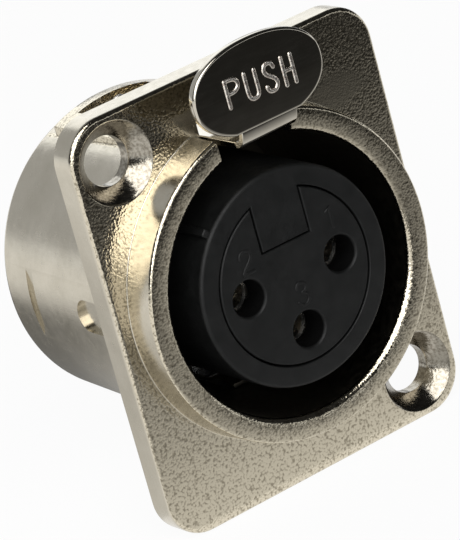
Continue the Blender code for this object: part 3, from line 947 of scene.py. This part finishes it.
    def zone(self, centre: Vector, normal: Vector) -> int:
        """Choose the finish of a face.

        Args:
            centre: Middle of the face.
            normal: Its normal.

        Returns:
            The number of the zone that the face is in.
        """
        x, y, z = centre
        radius = math.hypot(x, z)
        front, mouth_end = -self.thickness, self.collar_face + self.mouth
        if (normal.y < -0.9 and abs(y - front) < 3 * HAIR) or y < mouth_end - HAIR:
            return Zone.GRAIN.value
        side = math.copysign(1.0, x)
        to_screw = math.hypot(x - side * self.screw[0], z + side * self.screw[1])
        # Countersink faces take the darkened nickel of painted shade.
        if to_screw < self.sink_rim + self.lip * 1.5 and y < -HAIR:
            return Zone.SINK_PAINTED_SHADE.value
        across, up = abs(x) - self.width / 2, abs(z) - self.height / 2
        at_corner = math.hypot(across + self.corner, up + self.corner) > self.corner - self.edge
        at_edge = across > -self.edge or up > -self.edge or at_corner
        if normal.y < -0.55 and y < front + self.edge and at_edge and radius > 0.0125:
            return Zone.GRAIN.value
        # Faces inside the bore take the darkened nickel of painted shade.
        inside = radius < self.seat + 0.0004 and (x * normal.x + z * normal.z) < 0.2 * radius
        if inside and y > mouth_end:
            return Zone.BORE_PAINTED_SHADE.value
        if abs(x) < self.boss_half + 0.0002 and z > self.pocket_floor - 0.0005 and 0.0 < y < self.boss_rear:
            return Zone.GRAIN.value
        return Zone.SATIN.value

    def build(self) -> None:
        """Build, dress and settle the casting."""
        casting = self.flange()
        combine(casting, [self.turned_body(), self.boss()], Join.ADD)
        x, z = self.screw
        screws = [self.screw_tool("screw_left", (-x, z)), self.screw_tool("screw_right", (x, -z))]
        combine(casting, [*self.channel_tools(), *self.barrel_tools(), *screws, self.bore_tool()], Join.CUT)
        dress(casting, [finish.material() for finish in self.finishes], self.zone)
        settle(casting, Body.HOUSING, ("housing",))


@dataclass
class Stroke:
    """Raised round stroke of a letter or figure on a face that looks along -Y."""

    path: Outline
    width: float
    height: float
    sink: float = 0.00002
    taper: float = 0.05

    def stations(self) -> list[tuple[Vector, Vector, float]]:
        """Places along the stroke, with its round ends.

        Returns:
            The middle, direction and share of the full width at each.
        """
        points = [Vector(point) for point in self.path]
        first = (points[1] - points[0]).normalized()
        last = (points[-1] - points[-2]).normalized()
        half = self.width / 2
        places = []
        for i in range(4):
            angle = QUARTER * (1 - i / 4)
            share = max(math.cos(angle), self.taper)
            places.append((points[0] - first * half * math.sin(angle), first, share))
        for i, point in enumerate(points):
            along = points[min(i + 1, len(points) - 1)] - points[max(i - 1, 0)]
            places.append((point, along.normalized(), 1.0))
        for i in range(1, 5):
            angle = QUARTER * i / 4
            share = max(math.cos(angle), self.taper)
            places.append((points[-1] + last * half * math.sin(angle), last, share))
        return places

    def add(self, bm: bmesh.types.BMesh, face: float) -> None:
        """Add the stroke's shell to a mesh.

        Args:
            bm: Mesh of all strokes.
            face: Depth y of the face that it stands on.
        """
        rings = []
        for centre, along, share in self.stations():
            half = Vector((-along.y, along.x)) * (self.width / 2) * share
            rim = []
            for k in range(9):
                angle = math.pi * k / 8
                rim.append((math.cos(angle), -self.height * share * math.sin(angle)))
            rim += [(-1.0, self.sink), (1.0, self.sink)]
            rings.append([bm.verts.new((centre.x + half.x * a, face + rise, centre.y + half.y * a))
                          for a, rise in rim])
        skin(bm, rings)


@dataclass
class Latch:
    """Pressed latch: oval push plate, bent neck, arm with tooth, block and tongue."""

    front: float = -0.0072
    head_rear: float = -0.00655
    half_width: float = 0.005425
    half_height: float = 0.00325
    middle: float = 0.01465
    foot: float = 0.01175
    roundness: float = 2.2
    rim: float = 0.00022
    rear_rim: float = 0.00012
    sheet: float = 0.0005
    arm_half: float = 0.00235
    arm_middle: float = 0.0108
    bend: float = 0.0010
    arm_rear: float = 0.0033
    block_front: float = 0.0030
    block_flat: float = 0.0046
    block_rear: float = 0.00603
    block_half: float = 0.00275
    block_height: Point = (0.0104, 0.0114)
    tongue_half: float = 0.0012
    tongue_rear: float = 0.00753
    tooth_half: float = 0.0018
    tooth_rear: float = 0.0024
    tooth_slope: float = 0.0013
    tooth_tip: float = 0.0089
    lug_half: float = 0.0030
    lug: Point = (0.0003, 0.0013)
    lug_height: Point = (0.01055, 0.0109)
    stroke_width: float = 0.00031
    stroke_height: float = 0.00008
    word_scale: Point = (0.95, 0.89)

    def head_outline(self, inset: float) -> Outline:
        """Oval outline of the head, with a flat foot.

        Args:
            inset: How far it is moved in.

        Returns:
            Its (x, z) points.
        """
        points = []
        for i in range(112):
            angle = 2 * math.pi * i / 112
            c, s = math.cos(angle), math.sin(angle)
            x = math.copysign(abs(c) ** (2 / self.roundness), c) * (self.half_width - inset)
            z = math.copysign(abs(s) ** (2 / self.roundness), s) * (self.half_height - inset)
            points.append((x, max(self.middle + z, self.foot + inset)))
        return points

    def head(self) -> Object:
        """Push plate with a rounded rim."""
        rear = rounded(self.head_outline, self.rear_rim, self.head_rear, 3, -1.0)[::-1]
        return layered("latch_head", rear + rounded(self.head_outline, self.rim, self.front, 8))

    def sheet_strip(self) -> Object:
        """Neck, bend and arm as one bent strip.

        Returns:
            The strip.
        """
        neck = self.front + 0.00005 + self.sheet / 2
        bend_z = self.arm_middle + self.bend
        line = [(neck, bend_z + self.bend), *arc((neck + self.bend, bend_z), self.bend, 180, 270, 18),
                (self.arm_rear, self.arm_middle)]
        left, right = [], []
        for i, point in enumerate(line):
            along = (Vector(line[min(i + 1, len(line) - 1)]) - Vector(line[max(i - 1, 0)])).normalized()
            offset = Vector((-along.y, along.x)) * self.sheet / 2
            left.append(tuple(Vector(point) + offset))
            right.append(tuple(Vector(point) - offset))
        strip = side_prism("latch_pressing", left + right[::-1], self.arm_half)
        round_edges(strip, 0.00009, 3, 50.0)
        return strip

    def rear_pieces(self) -> list[Object]:
        """Rear block, tongue, tooth and stop lugs, joined to the arm.

        Returns:
            The solids.
        """
        low, high = self.block_height
        ramp = [(self.block_front, low), (self.block_flat, low), (self.block_rear, high),
                (self.block_front, high)]
        tip, middle = self.tooth_tip, self.arm_middle
        tooth = [(0.0, middle), (0.0, middle - self.sheet / 2), (self.tooth_slope, tip),
                 (self.tooth_rear, tip), (self.tooth_rear, middle)]
        pieces = [
            side_prism("rear_block", ramp, self.block_half),
            block("tongue", about(0.0, self.tongue_half), (self.arm_rear, self.tongue_rear), (low, high)),
            side_prism("tooth", tooth, self.tooth_half),
            block("lugs", about(0.0, self.lug_half), self.lug, self.lug_height),
        ]
        for piece in pieces:
            round_edges(piece, 0.00008, 3, 30.0)
        return pieces

    def word(self) -> list[Outline]:
        """Paths of the four letters of PUSH.

        Returns:
            The paths, in millimetres on the plate.
        """
        p_stem = [(-2.83, 13.72), (-2.83, 15.78)]
        p_bowl = smooth_path([(-2.83, 15.78), (-2.3, 15.79), (-1.9, 15.62), (-1.76, 15.28), (-1.92, 14.93),
                              (-2.3, 14.77), (-2.83, 14.76)])
        u = smooth_path([(-1.12, 15.74), (-1.12, 14.9), (-1.10, 14.05), (-0.93, 13.68), (-0.64, 13.60),
                         (-0.36, 13.70), (-0.22, 14.05), (-0.21, 14.9), (-0.21, 15.72)])
        s = smooth_path([(1.42, 15.30), (1.28, 15.62), (1.0, 15.73), (0.68, 15.62), (0.56, 15.28),
                         (0.70, 14.93), (1.02, 14.66), (1.34, 14.38), (1.47, 14.02), (1.32, 13.66),
                         (1.0, 13.52), (0.66, 13.64), (0.52, 13.98)])
        h_left = [(2.18, 13.45), (2.18, 15.68)]
        h_right = [(3.02, 13.42), (3.02, 15.66)]
        h_bar = [(2.18, 14.56), (3.02, 14.55)]
        return [p_stem, p_bowl, u, s, h_left, h_right, h_bar]

    def lettering(self) -> Object:
        """Raised strokes of the word on the push plate.

        Returns:
            The strokes in one piece.
        """
        bm = bmesh.new()
        wide, high = self.word_scale
        for path in self.word():
            points = [(wide * x / 1000, self.middle + high * (z / 1000 - self.middle)) for x, z in path]
            Stroke(points, self.stroke_width, self.stroke_height).add(bm, self.front)
        return to_piece("latch_lettering", bm)

    def behind_head(self, centre: Vector, normal: Vector) -> int:
        """Give 1 for a face at the head's back, which takes darkened nickel as painted shade, and 0 for
        others.
        """
        return int(normal.y > 0.9 and abs(centre.y - self.head_rear) < 2 * HAIR and centre.z > self.foot)

    def build(self) -> None:
        """Build, dress and settle the latch."""
        latch = self.sheet_strip()
        combine(latch, [self.head(), *self.rear_pieces()], Join.ADD)
        # Painted shade: the head's back takes a darkened copy of the satin nickel for the shade between head
        # and flange.
        dull = SatinNickel(colour=(0.24, 0.22, 0.18), shade=(0.17, 0.155, 0.125), roughness=(0.36, 0.50))
        dress(latch, [BrightNickel().material(), dull.material()], self.behind_head)
        settle(latch, Body.LATCH, ("latch",))
        word = self.lettering()
        # Painted highlight: the strokes' colour is much brighter than the plate's nickel.
        dress(word, [StampedNickelPaintedHighlight().material()])
        settle(word, Body.LATCH, sharp=60.0)


@dataclass
class LatchSpring:
    """Compression spring between the latch's tongue and the pocket's rear wall."""

    front: float = 0.00795
    rear: float = 0.01238
    middle: float = 0.01097
    radius: float = 0.0006
    wire: float = 0.00012
    turns: int = 6
    turn_steps: int = 28

    def build(self) -> None:
        """Build, dress and settle the spring."""
        steps = self.turn_steps * self.turns
        curve = bpy.data.curves.new("spring_coil", "CURVE")
        curve.dimensions = "3D"
        spline = curve.splines.new("POLY")
        spline.points.add(steps)
        for i, point in enumerate(spline.points):
            angle = 2 * math.pi * self.turns * i / steps
            y = self.front + (self.rear - self.front) * i / steps
            point.co = (self.radius * math.cos(angle), y, self.middle + self.radius * math.sin(angle), 1.0)
        curve.bevel_depth = self.wire
        curve.bevel_resolution = 3
        curve.use_fill_caps = True
        coil = add_object("spring_curve", curve)
        spring = add_object("spring_coil", final_mesh(coil))
        bpy.data.objects.remove(coil, do_unlink=True)
        spring.data.materials.clear()
        dress(spring, [TurnedMetal("spring_wire", (0.52, 0.51, 0.49), (0.34, 0.31, 0.28)).material()])
        ends = (Vector((0.0, self.front, self.middle)), Vector((0.0, self.rear, self.middle)))
        settle(spring, Body.HOUSING, ("latch_spring",), 60.0, ends)


@dataclass
class Insert:
    """Black insert in two pieces: the keyed sleeve and the core with the holes."""

    sleeve: float = 0.00785
    front: float = -0.0051
    sleeve_edge: float = 0.00032
    seat_front: float = 0.0112
    seat_rear: float = 0.0132
    seat_radius: float = 0.0097
    floor: float = 0.0100
    core: float = 0.00622
    gap: float = 0.00012
    key_half: float = 0.0020
    key_bottom: float = 0.0026
    cavity_edge: float = 0.00007
    core_edge: float = 0.00015
    core_rear: float = 0.0077
    hole: float = 0.0013
    hole_flare: float = 0.00022
    chamber: float = 0.00195
    chamber_front: float = -0.0029
    circle: float = 0.0040
    stem: float = 0.0017
    rib_angle: float = 136.0
    rib_reach: float = 0.00835
    rib_rear: float = 0.0093
    rib_half: float = 0.0003
    notch_half: float = 0.00155
    notch_height: Point = (-0.011, -0.0092)
    figure_width: float = 0.00024
    figure_height: float = 0.00007
    sides: int = 160

    def places(self) -> list[tuple[int, Point]]:
        """Number and (x, z) centre of each contact."""
        return [(1, (self.circle, 0.0)), (2, (-self.circle, 0.0)), (3, (0.0, -self.circle))]

    def keyed(self, radius: float, half: float, bottom: float) -> Outline:
        """Circle with a square notch in its top.

        Args:
            radius: Radius of the circle.
            half: Half the width of the notch.
            bottom: Height z of its bottom.

        Returns:
            Its (x, z) points.
        """
        spread = math.degrees(math.asin(half / radius))
        return [*arc((0.0, 0.0), radius, 90 + spread, 450 - spread, 120), (half, bottom), (-half, bottom)]

    def cavity(self, grow: float) -> Outline:
        """Outline of the sleeve's cavity, grown by a length."""
        return self.keyed(self.core + self.gap + grow, self.key_half - grow, self.key_bottom + grow)

    def core_outline(self, inset: float) -> Outline:
        """Outline of the core, moved in by a length."""
        half, bottom = self.key_half + self.gap + inset, self.key_bottom - self.gap - inset
        return self.keyed(self.core - inset, half, bottom)

    def build_sleeve(self, finish: Material) -> None:
        """Outer sleeve with the key, the side rib, the web and the seat flange.

        Args:
            finish: Its material.
        """
        edge, front, rear, radius = self.sleeve_edge, self.front, self.seat_rear, self.seat_radius
        profile = [
            (0.0, front), *arc((self.sleeve - edge, front + edge), edge, -90, 0, 8),
            (self.sleeve, self.seat_front), (radius - 0.0001, self.seat_front),
            (radius, self.seat_front + 0.0001), (radius, rear - 0.00015), (radius - 0.00015, rear),
            (0.0, rear)]
        sleeve = lathe("sleeve_moulding", profile, self.sides)
        rib = block("rib", ((self.sleeve + self.core) / 2, self.rib_reach), (front + 0.0002, self.rib_rear),
                    about(0.0, self.rib_half))
        round_edges(rib, 0.00015, 3)
        rib.data.transform(Matrix.Rotation(-math.radians(self.rib_angle), 4, "Y"))
        combine(sleeve, [rib], Join.ADD)
        lip = shifted([(0.45, 0.25), (0.12, 0.6), (0.0, 1.0)], (0.0, front), self.cavity_edge)
        steps = [(0.0011, front - PAST), (self.cavity_edge, front - HAIR), *lip, (0.0, self.floor)]
        tools = [layered("cavity", [(self.cavity(grow), y) for grow, y in steps])]
        stem, flare, end = self.stem, self.stem + 0.0002, rear + PAST
        profile = [(0.0, self.floor - PAST), (stem, self.floor - PAST), (stem, rear - 0.0001),
                   (flare, rear + 0.0001), (flare, end), (0.0, end)]
        tools += [lathe(f"stem_{number}", profile, 48, centre) for number, centre in self.places()]
        tools.append(block("strip_notch", about(0.0, self.notch_half), (self.seat_front - 0.00015, end),
                           self.notch_height))
        combine(sleeve, tools, Join.CUT)
        dress(sleeve, [finish])
        settle(sleeve, Body.HOUSING, ("insert_sleeve",))

    def in_hole(self, centre: Vector, normal: Vector) -> int:
        """Give 1 for a face inside a hole of the core, which is painted darker as shade, and 0 for others.

        Args:
            centre: Middle of the face.
            normal: Its normal.

        Returns:
            The number of its material.
        """
        x, depth, z = centre
        near = any(math.hypot(x - px, z - pz) < self.chamber + 0.0001 for _, (px, pz) in self.places())
        return int(near and self.front + self.hole_flare < depth < self.core_rear - HAIR)

    def build_core(self, finish: Material) -> None:
        """Keyed core with three flared holes.

        Args:
            finish: Its material.
        """
        rear = (self.core_outline(0.0), self.core_rear)
        core = layered("core_moulding", [rear, *rounded(self.core_outline, self.core_edge, self.front, 5)])
        front, end, rim = self.front, self.core_rear + PAST, self.hole + self.hole_flare
        profile = [
            (0.0, front - PAST), (rim + 0.0002, front - PAST), (rim, front - HAIR),
            *shifted([(0.5, 0.22), (0.15, 0.6), (0.0, 1.0)], (self.hole, front), self.hole_flare),
            (self.hole, self.chamber_front), (self.chamber, self.chamber_front), (self.chamber, end),
            (0.0, end)]
        tools = [lathe(f"hole_{number}", profile, 72, centre) for number, centre in self.places()]
        combine(core, tools, Join.CUT)
        # Painted shade: faces inside the holes take a darker, duller copy of the nylon.
        dark = MouldedNylon("hole_nylon_painted_shade", (0.002,) * 3, (0.003,) * 3, (0.55, 0.70), gloss=0.08)
        dress(core, [finish, dark.material()], self.in_hole)
        settle(core, Body.HOUSING, ("insert_core",))

    def build_figures(self, finish: Material) -> None:
        """Raised figures 1, 2 and 3 beside the holes, with paths in millimetres.

        Args:
            finish: Their material.
        """
        one = [(-0.26, 0.48), (0.06, 0.78), (0.06, -0.78)]
        two = [*smooth_path([(-0.46, 0.36), (-0.34, 0.70), (0.02, 0.82), (0.38, 0.66), (0.42, 0.30),
                             (0.16, -0.08), (-0.22, -0.44), (-0.48, -0.78)], 5), (0.5, -0.78)]
        three = smooth_path([(-0.42, 0.50), (-0.26, 0.76), (0.04, 0.80), (0.36, 0.60), (0.30, 0.22),
                             (-0.04, 0.06), (0.34, -0.12), (0.44, -0.48), (0.16, -0.78), (-0.20, -0.78),
                             (-0.46, -0.50)], 5)
        bm = bmesh.new()
        for (x, z), path in (((3.95, 2.8), one), ((-3.5, 2.5), two), ((0.2, -1.4), three)):
            points = [((px + x) / 1000, (pz + z) / 1000) for px, pz in path]
            Stroke(points, self.figure_width, self.figure_height).add(bm, self.front)
        figures = to_piece("core_figures", bm)
        dress(figures, [finish])
        settle(figures, Body.HOUSING, sharp=60.0)

    def build(self) -> None:
        """Build, dress and settle the sleeve, the core and its figures."""
        finish = MouldedNylon().material()
        self.build_sleeve(finish)
        self.build_core(finish)
        self.build_figures(finish)


@dataclass
class Contact:
    """Turned socket contact: split tube, collar, stem and solder cup."""

    number: int
    centre: Point
    front: float = -0.0026
    bore: float = 0.0012
    tube: float = 0.00165
    bore_end: float = 0.0064
    collar: float = 0.00205
    collar_place: Point = (0.0080, 0.0097)
    stem: float = 0.0014
    cup_front: float = 0.0135
    cup_rear: float = 0.0187
    cup: float = 0.0012
    cup_bore: float = 0.0009
    cup_floor: float = 0.0147
    slit: float = 0.0002
    slit_end: float = 0.0034
    cup_cut: float = 0.0155
    soft: float = 0.00008

    def build(self, finish: Material) -> None:
        """Build, dress and settle the contact.

        Args:
            finish: Material of the plated metal.
        """
        front, rear = self.collar_place
        soft, end, tube, collar, cup = self.soft, self.cup_rear, self.tube, self.collar, self.cup
        profile = [
            (0.0, self.bore_end), (self.bore, self.bore_end), (self.bore, self.front + 0.0002),
            (self.bore + 0.00015, self.front), (tube - soft, self.front), (tube, self.front + soft),
            (tube, front), (collar - soft, front), (collar, front + soft), (collar, rear - soft),
            (collar - soft, rear), (self.stem, rear), (self.stem, self.cup_front), (cup, self.cup_front),
            (cup, end - soft), (cup - soft, end), (self.cup_bore + soft, end), (self.cup_bore, end - soft),
            (self.cup_bore, self.cup_floor), (0.0, self.cup_floor)]
        contact = lathe(f"contact_pin_{self.number}", profile, 48, self.centre)
        x, z = self.centre
        tools = [
            block("slit", about(x, self.slit), (self.front - PAST, self.slit_end), about(z, 0.004)),
            block("cup", about(x, 0.003), (self.cup_cut, end + PAST), (z + self.cup_bore / 4, z + 0.003)),
        ]
        combine(contact, tools, Join.CUT)
        dress(contact, [finish])
        settle(contact, Body.HOUSING, (f"contact_{self.number}",))


@dataclass
class RearHardware:
    """Retaining ring behind the insert and the ground strip under it."""

    ring: Point = (0.0092, 0.0102)
    ring_place: Point = (0.0135, 0.0143)
    opening: float = 22.0
    strip_front: float = 0.0050
    strip_rear: float = 0.0195
    strip_middle: float = -0.009675
    strip_thickness: float = 0.00035
    strip_half: float = 0.00125
    painted_shade_length: float = 0.0045
    finger_length: float = 0.0035
    finger_rise: float = 0.00045
    tag_hole: float = 0.0006

    def build_ring(self) -> None:
        """Open spring ring with softened edges."""
        start, end = -90 + self.opening, 270 - self.opening
        inner, outer = self.ring
        outline = arc((0.0, 0.0), outer, start, end, 120) + arc((0.0, 0.0), inner, end, start, 120)
        ring = front_prism("ring_spring", outline, *self.ring_place)
        round_edges(ring, 0.00008, 2, 50.0)
        black = TurnedMetal("phosphated_ring", (0.085, 0.085, 0.09), (0.15, 0.14, 0.13), (0.38, 0.55),
                            metallic=0.8)
        dress(ring, [black.material()])
        settle(ring, Body.HOUSING, ("retaining_ring",))

    def on_finger(self, centre: Vector, normal: Vector) -> int:
        """Give 1 for a face on the strip's finger, which is painted dark as shade deep in the bore, and 0
        for others.
        """
        return int(centre.y < self.strip_front + self.painted_shade_length)

    def build_strip(self) -> None:
        """Ground strip with a finger in the bore and a solder tag."""
        line = []
        for i in range(25):
            share = i / 24
            rise = self.finger_rise * math.sin(math.pi * share) ** 2
            line.append((self.strip_front + self.finger_length * share, self.strip_middle + rise))
        line.append((self.strip_rear, self.strip_middle))
        half = self.strip_thickness / 2
        outline = [(y, z + half) for y, z in line] + [(y, z - half) for y, z in reversed(line)]
        strip = side_prism("strip_tag", outline, self.strip_half)
        round_edges(strip, 0.00006, 2, 50.0)
        bm = bmesh.new()
        place = Matrix.Translation((0.0, self.strip_rear - self.strip_half, self.strip_middle))
        bmesh.ops.create_cone(bm, cap_ends=True, segments=40, radius1=self.tag_hole, radius2=self.tag_hole,
                              depth=2 * PAST, matrix=place)
        combine(strip, [to_piece("tag_hole", bm)], Join.CUT)
        tinned = TurnedMetal("tinned_strip", (0.66, 0.655, 0.64), (0.48, 0.46, 0.43))
        # Painted shade: the finger deep in the bore takes dark metal for the shade there.
        finger_shade = TurnedMetal("finger_painted_shade", (0.11, 0.10, 0.08), (0.06, 0.05, 0.04), (0.40, 0.55))
        dress(strip, [tinned.material(), finger_shade.material()], self.on_finger)
        settle(strip, Body.HOUSING, ("ground_contact",))

    def build(self) -> None:
        """Build, dress and settle both pieces."""
        self.build_ring()
        self.build_strip()


# Studio


@dataclass
class Studio:
    """Floor, world, lamps, sheets of painted shade for the metal to reflect, and camera."""

    camera_place: Triple = (-0.13038, -0.21981, 0.08858)
    camera_right: Triple = (0.7873, -0.5619, -0.2541)
    camera_up: Triple = (0.3909, 0.1362, 0.9103)
    lens: float = 258.2
    floor_height: float = -0.01556
    floor_reach: float = 4.0
    card_height: float = -0.01553
    pale: Colour = (0.93, 0.93, 0.93)
    glow: float = 0.94
    key_level: float = 3.3
    back_level: float = 1.05
    back_colour: Colour = (0.94, 0.97, 1.0)
    world_colour: Colour = (0.96, 0.98, 1.0)
    world_way: Triple = (0.15, -0.95, -0.28)
    world_reach: Point = (-0.75, -0.40)
    world_level: Point = (0.50, 0.02)
    horizon: Point = (0.075, 0.12)

    def camera(self) -> None:
        """Camera at the photograph's place and angle."""
        data = bpy.data.cameras.new("camera")
        data.lens = self.lens
        data.sensor_width = 36.0
        data.clip_start = 0.01
        data.clip_end = 20.0
        camera = add_object("camera", data)
        right = Vector(self.camera_right).normalized()
        up = Vector(self.camera_up)
        up = (up - right * up.dot(right)).normalized()
        matrix = Matrix((right, up, right.cross(up))).transposed().to_4x4()
        matrix.translation = Vector(self.camera_place)
        camera.matrix_world = matrix
        bpy.context.scene.camera = camera

    def sheet(self, name: str, x: Point, y: Point, height: float, material: Material) -> Object:
        """Add a flat sheet of the stage.

        Args:
            name: Name of the sheet.
            x: Its low and high x.
            y: Its low and high y.
            height: Its height z.
            material: Its material.

        Returns:
            The sheet.
        """
        mesh = bpy.data.meshes.new(name)
        corners = [(x[0], y[0], height), (x[1], y[0], height), (x[1], y[1], height), (x[0], y[1], height)]
        mesh.from_pydata(corners, [], [(0, 1, 2, 3)])
        mesh.materials.append(material)
        sheet = add_object(name, mesh)
        return sheet

    def floor(self) -> None:
        """Plain pale floor that keeps the socket's shadow and is clear from below."""
        w = Surface("floor_paper", self.pale, 0.0, 0.9, 0.0)
        path = w.node("LightPath").outputs
        seen = w.math("MAXIMUM", w.math("MAXIMUM", path["Is Camera Ray"], path["Is Glossy Ray"]),
                      path["Is Transmission Ray"])
        paper = w.node("Emission", {"Color": (1.0, 1.0, 1.0, 1.0), "Strength": 1.0})
        mix = w.node("MixShader", {"Fac": w.math("MULTIPLY", seen, self.glow), 1: w.shader.outputs["BSDF"],
                                   2: paper.outputs["Emission"]})
        clear = w.node("MixShader", {"Fac": w.node("NewGeometry").outputs["Backfacing"],
                                     1: mix.outputs["Shader"], 2: w.node("BsdfTransparent").outputs["BSDF"]})
        w.show(clear.outputs["Shader"])
        reach = about(0.0, self.floor_reach)
        self.sheet("floor", reach, reach, self.floor_height, w.material)

    def card(self, name: str, x: Point, y: Point, centre: Point, stretch: Point, tones: list[Point]) -> None:
        """Lay a glowing grey sheet beside the socket, out of the camera's sight, for the metal to reflect as
        painted shade.

        Args:
            name: Name of the card.
            x: Its low and high x.
            y: Its low and high y.
            centre: Place (x, y) where its tones start.
            stretch: Distances along x and y over which the tones run, 0 for none.
            tones: Shares of that distance and the grey there.
        """
        w = Surface(name, (0.0, 0.0, 0.0), 0.0, 1.0)
        away = w.distance((*centre, 0.0), (*(1.0 / length if length else 0.0 for length in stretch), 0.0))
        greys = w.ramp(away, [(place, (grey, grey, grey * 0.99)) for place, grey in tones])
        w.show(w.node("Emission", {"Color": greys, "Strength": 1.0}).outputs["Emission"])
        card = self.sheet(name, x, y, self.card_height, w.material)
        card.visible_camera = False
        card.visible_diffuse = False
        card.visible_shadow = False

    def cards(self) -> None:
        """Painted shade at the socket's front right and painted shadow of the socket under its barrel."""
        # Painted shade: the floor at the front right, darker further out.
        self.card("painted_shade_front", (-0.030, 0.60), (-0.60, -0.0035), (0.0, -0.0035), (0.0, 0.120),
                  [(0.0, 0.74), (0.07, 0.60), (0.14, 0.44), (0.25, 0.29), (0.38, 0.20), (0.50, 0.095),
                   (0.60, 0.055), (0.75, 0.020)])
        # Painted shadow: the socket's own shadow on the floor, as greys that the metal reflects.
        self.card("painted_shadow_rear", (-0.10, 0.12), (0.002, 0.20), (0.0, 0.050), (0.060, 0.060),
                  [(0.0, 0.17), (0.37, 0.19), (0.47, 0.32), (0.60, 0.66), (0.75, 0.72), (1.0, 0.90)])

    def world(self) -> None:
        """World that is pale at the back and along the horizon, and dim elsewhere."""
        world = bpy.data.worlds.new("studio")
        world.use_nodes = True
        bpy.context.scene.world = world
        w = Wiring(world.node_tree, "Generated")
        facing = w.node("VectorMath", {0: w.place, 1: self.world_way}, operation="DOT_PRODUCT")
        level = w.span(facing.outputs["Value"], self.world_reach, self.world_level, "SMOOTHSTEP")
        rise = w.node("SeparateXYZ", {"Vector": w.place})
        band = w.span(rise.outputs["Z"], self.horizon, (self.glow, 0.0), "SMOOTHSTEP")
        background = w.tree.nodes["Background"].inputs
        background["Color"].default_value = (*self.world_colour, 1.0)
        w.tree.links.new(w.math("MAXIMUM", level, band), background["Strength"])

    def lamp(self, name: str, place: Triple, size: Point, level: float,
             colour: Colour = (1.0, 1.0, 1.0)) -> None:
        """Add a soft rectangular lamp that faces the socket.

        Args:
            name: Name of the lamp.
            place: Its middle.
            size: Its width and height.
            level: Its brightness, where 1 is white.
            colour: Its colour.
        """
        data = bpy.data.lights.new(name, "AREA")
        data.shape = "RECTANGLE"
        data.size, data.size_y = size
        data.energy = level * math.pi * size[0] * size[1]
        data.color = colour
        lamp = add_object(name, data)
        lamp.location = place
        lamp.rotation_mode = "QUATERNION"
        lamp.rotation_quaternion = (-Vector(place)).to_track_quat("-Z", "Y")
        lamp.visible_camera = False

    def lamps(self) -> None:
        """Large soft box over the photographer's head and a smaller one behind the socket."""
        self.lamp("softbox_front", (-0.257, -0.412, 0.353), (0.65, 0.65), self.key_level)
        self.lamp("softbox_back", (0.20, 0.39, 0.23), (0.40, 0.25), self.back_level, self.back_colour)

    def build(self) -> None:
        """Set up the whole studio."""
        bpy.context.scene.view_settings.view_transform = "Standard"
        self.camera()
        self.floor()
        self.cards()
        self.world()
        self.lamps()


def main() -> None:
    """Build every sub-assembly in order."""
    logging.basicConfig(level=logging.INFO, format="%(name)s: %(message)s")
    Studio().build()
    Housing().build()
    Latch().build()
    LatchSpring().build()
    insert = Insert()
    insert.build()
    silver = TurnedMetal("silver_plate", (0.84, 0.82, 0.77), (0.60, 0.54, 0.45)).material()
    for number, centre in insert.places():
        Contact(number, centre).build(silver)
    RearHardware().build()


if __name__ == "__main__":
    main()
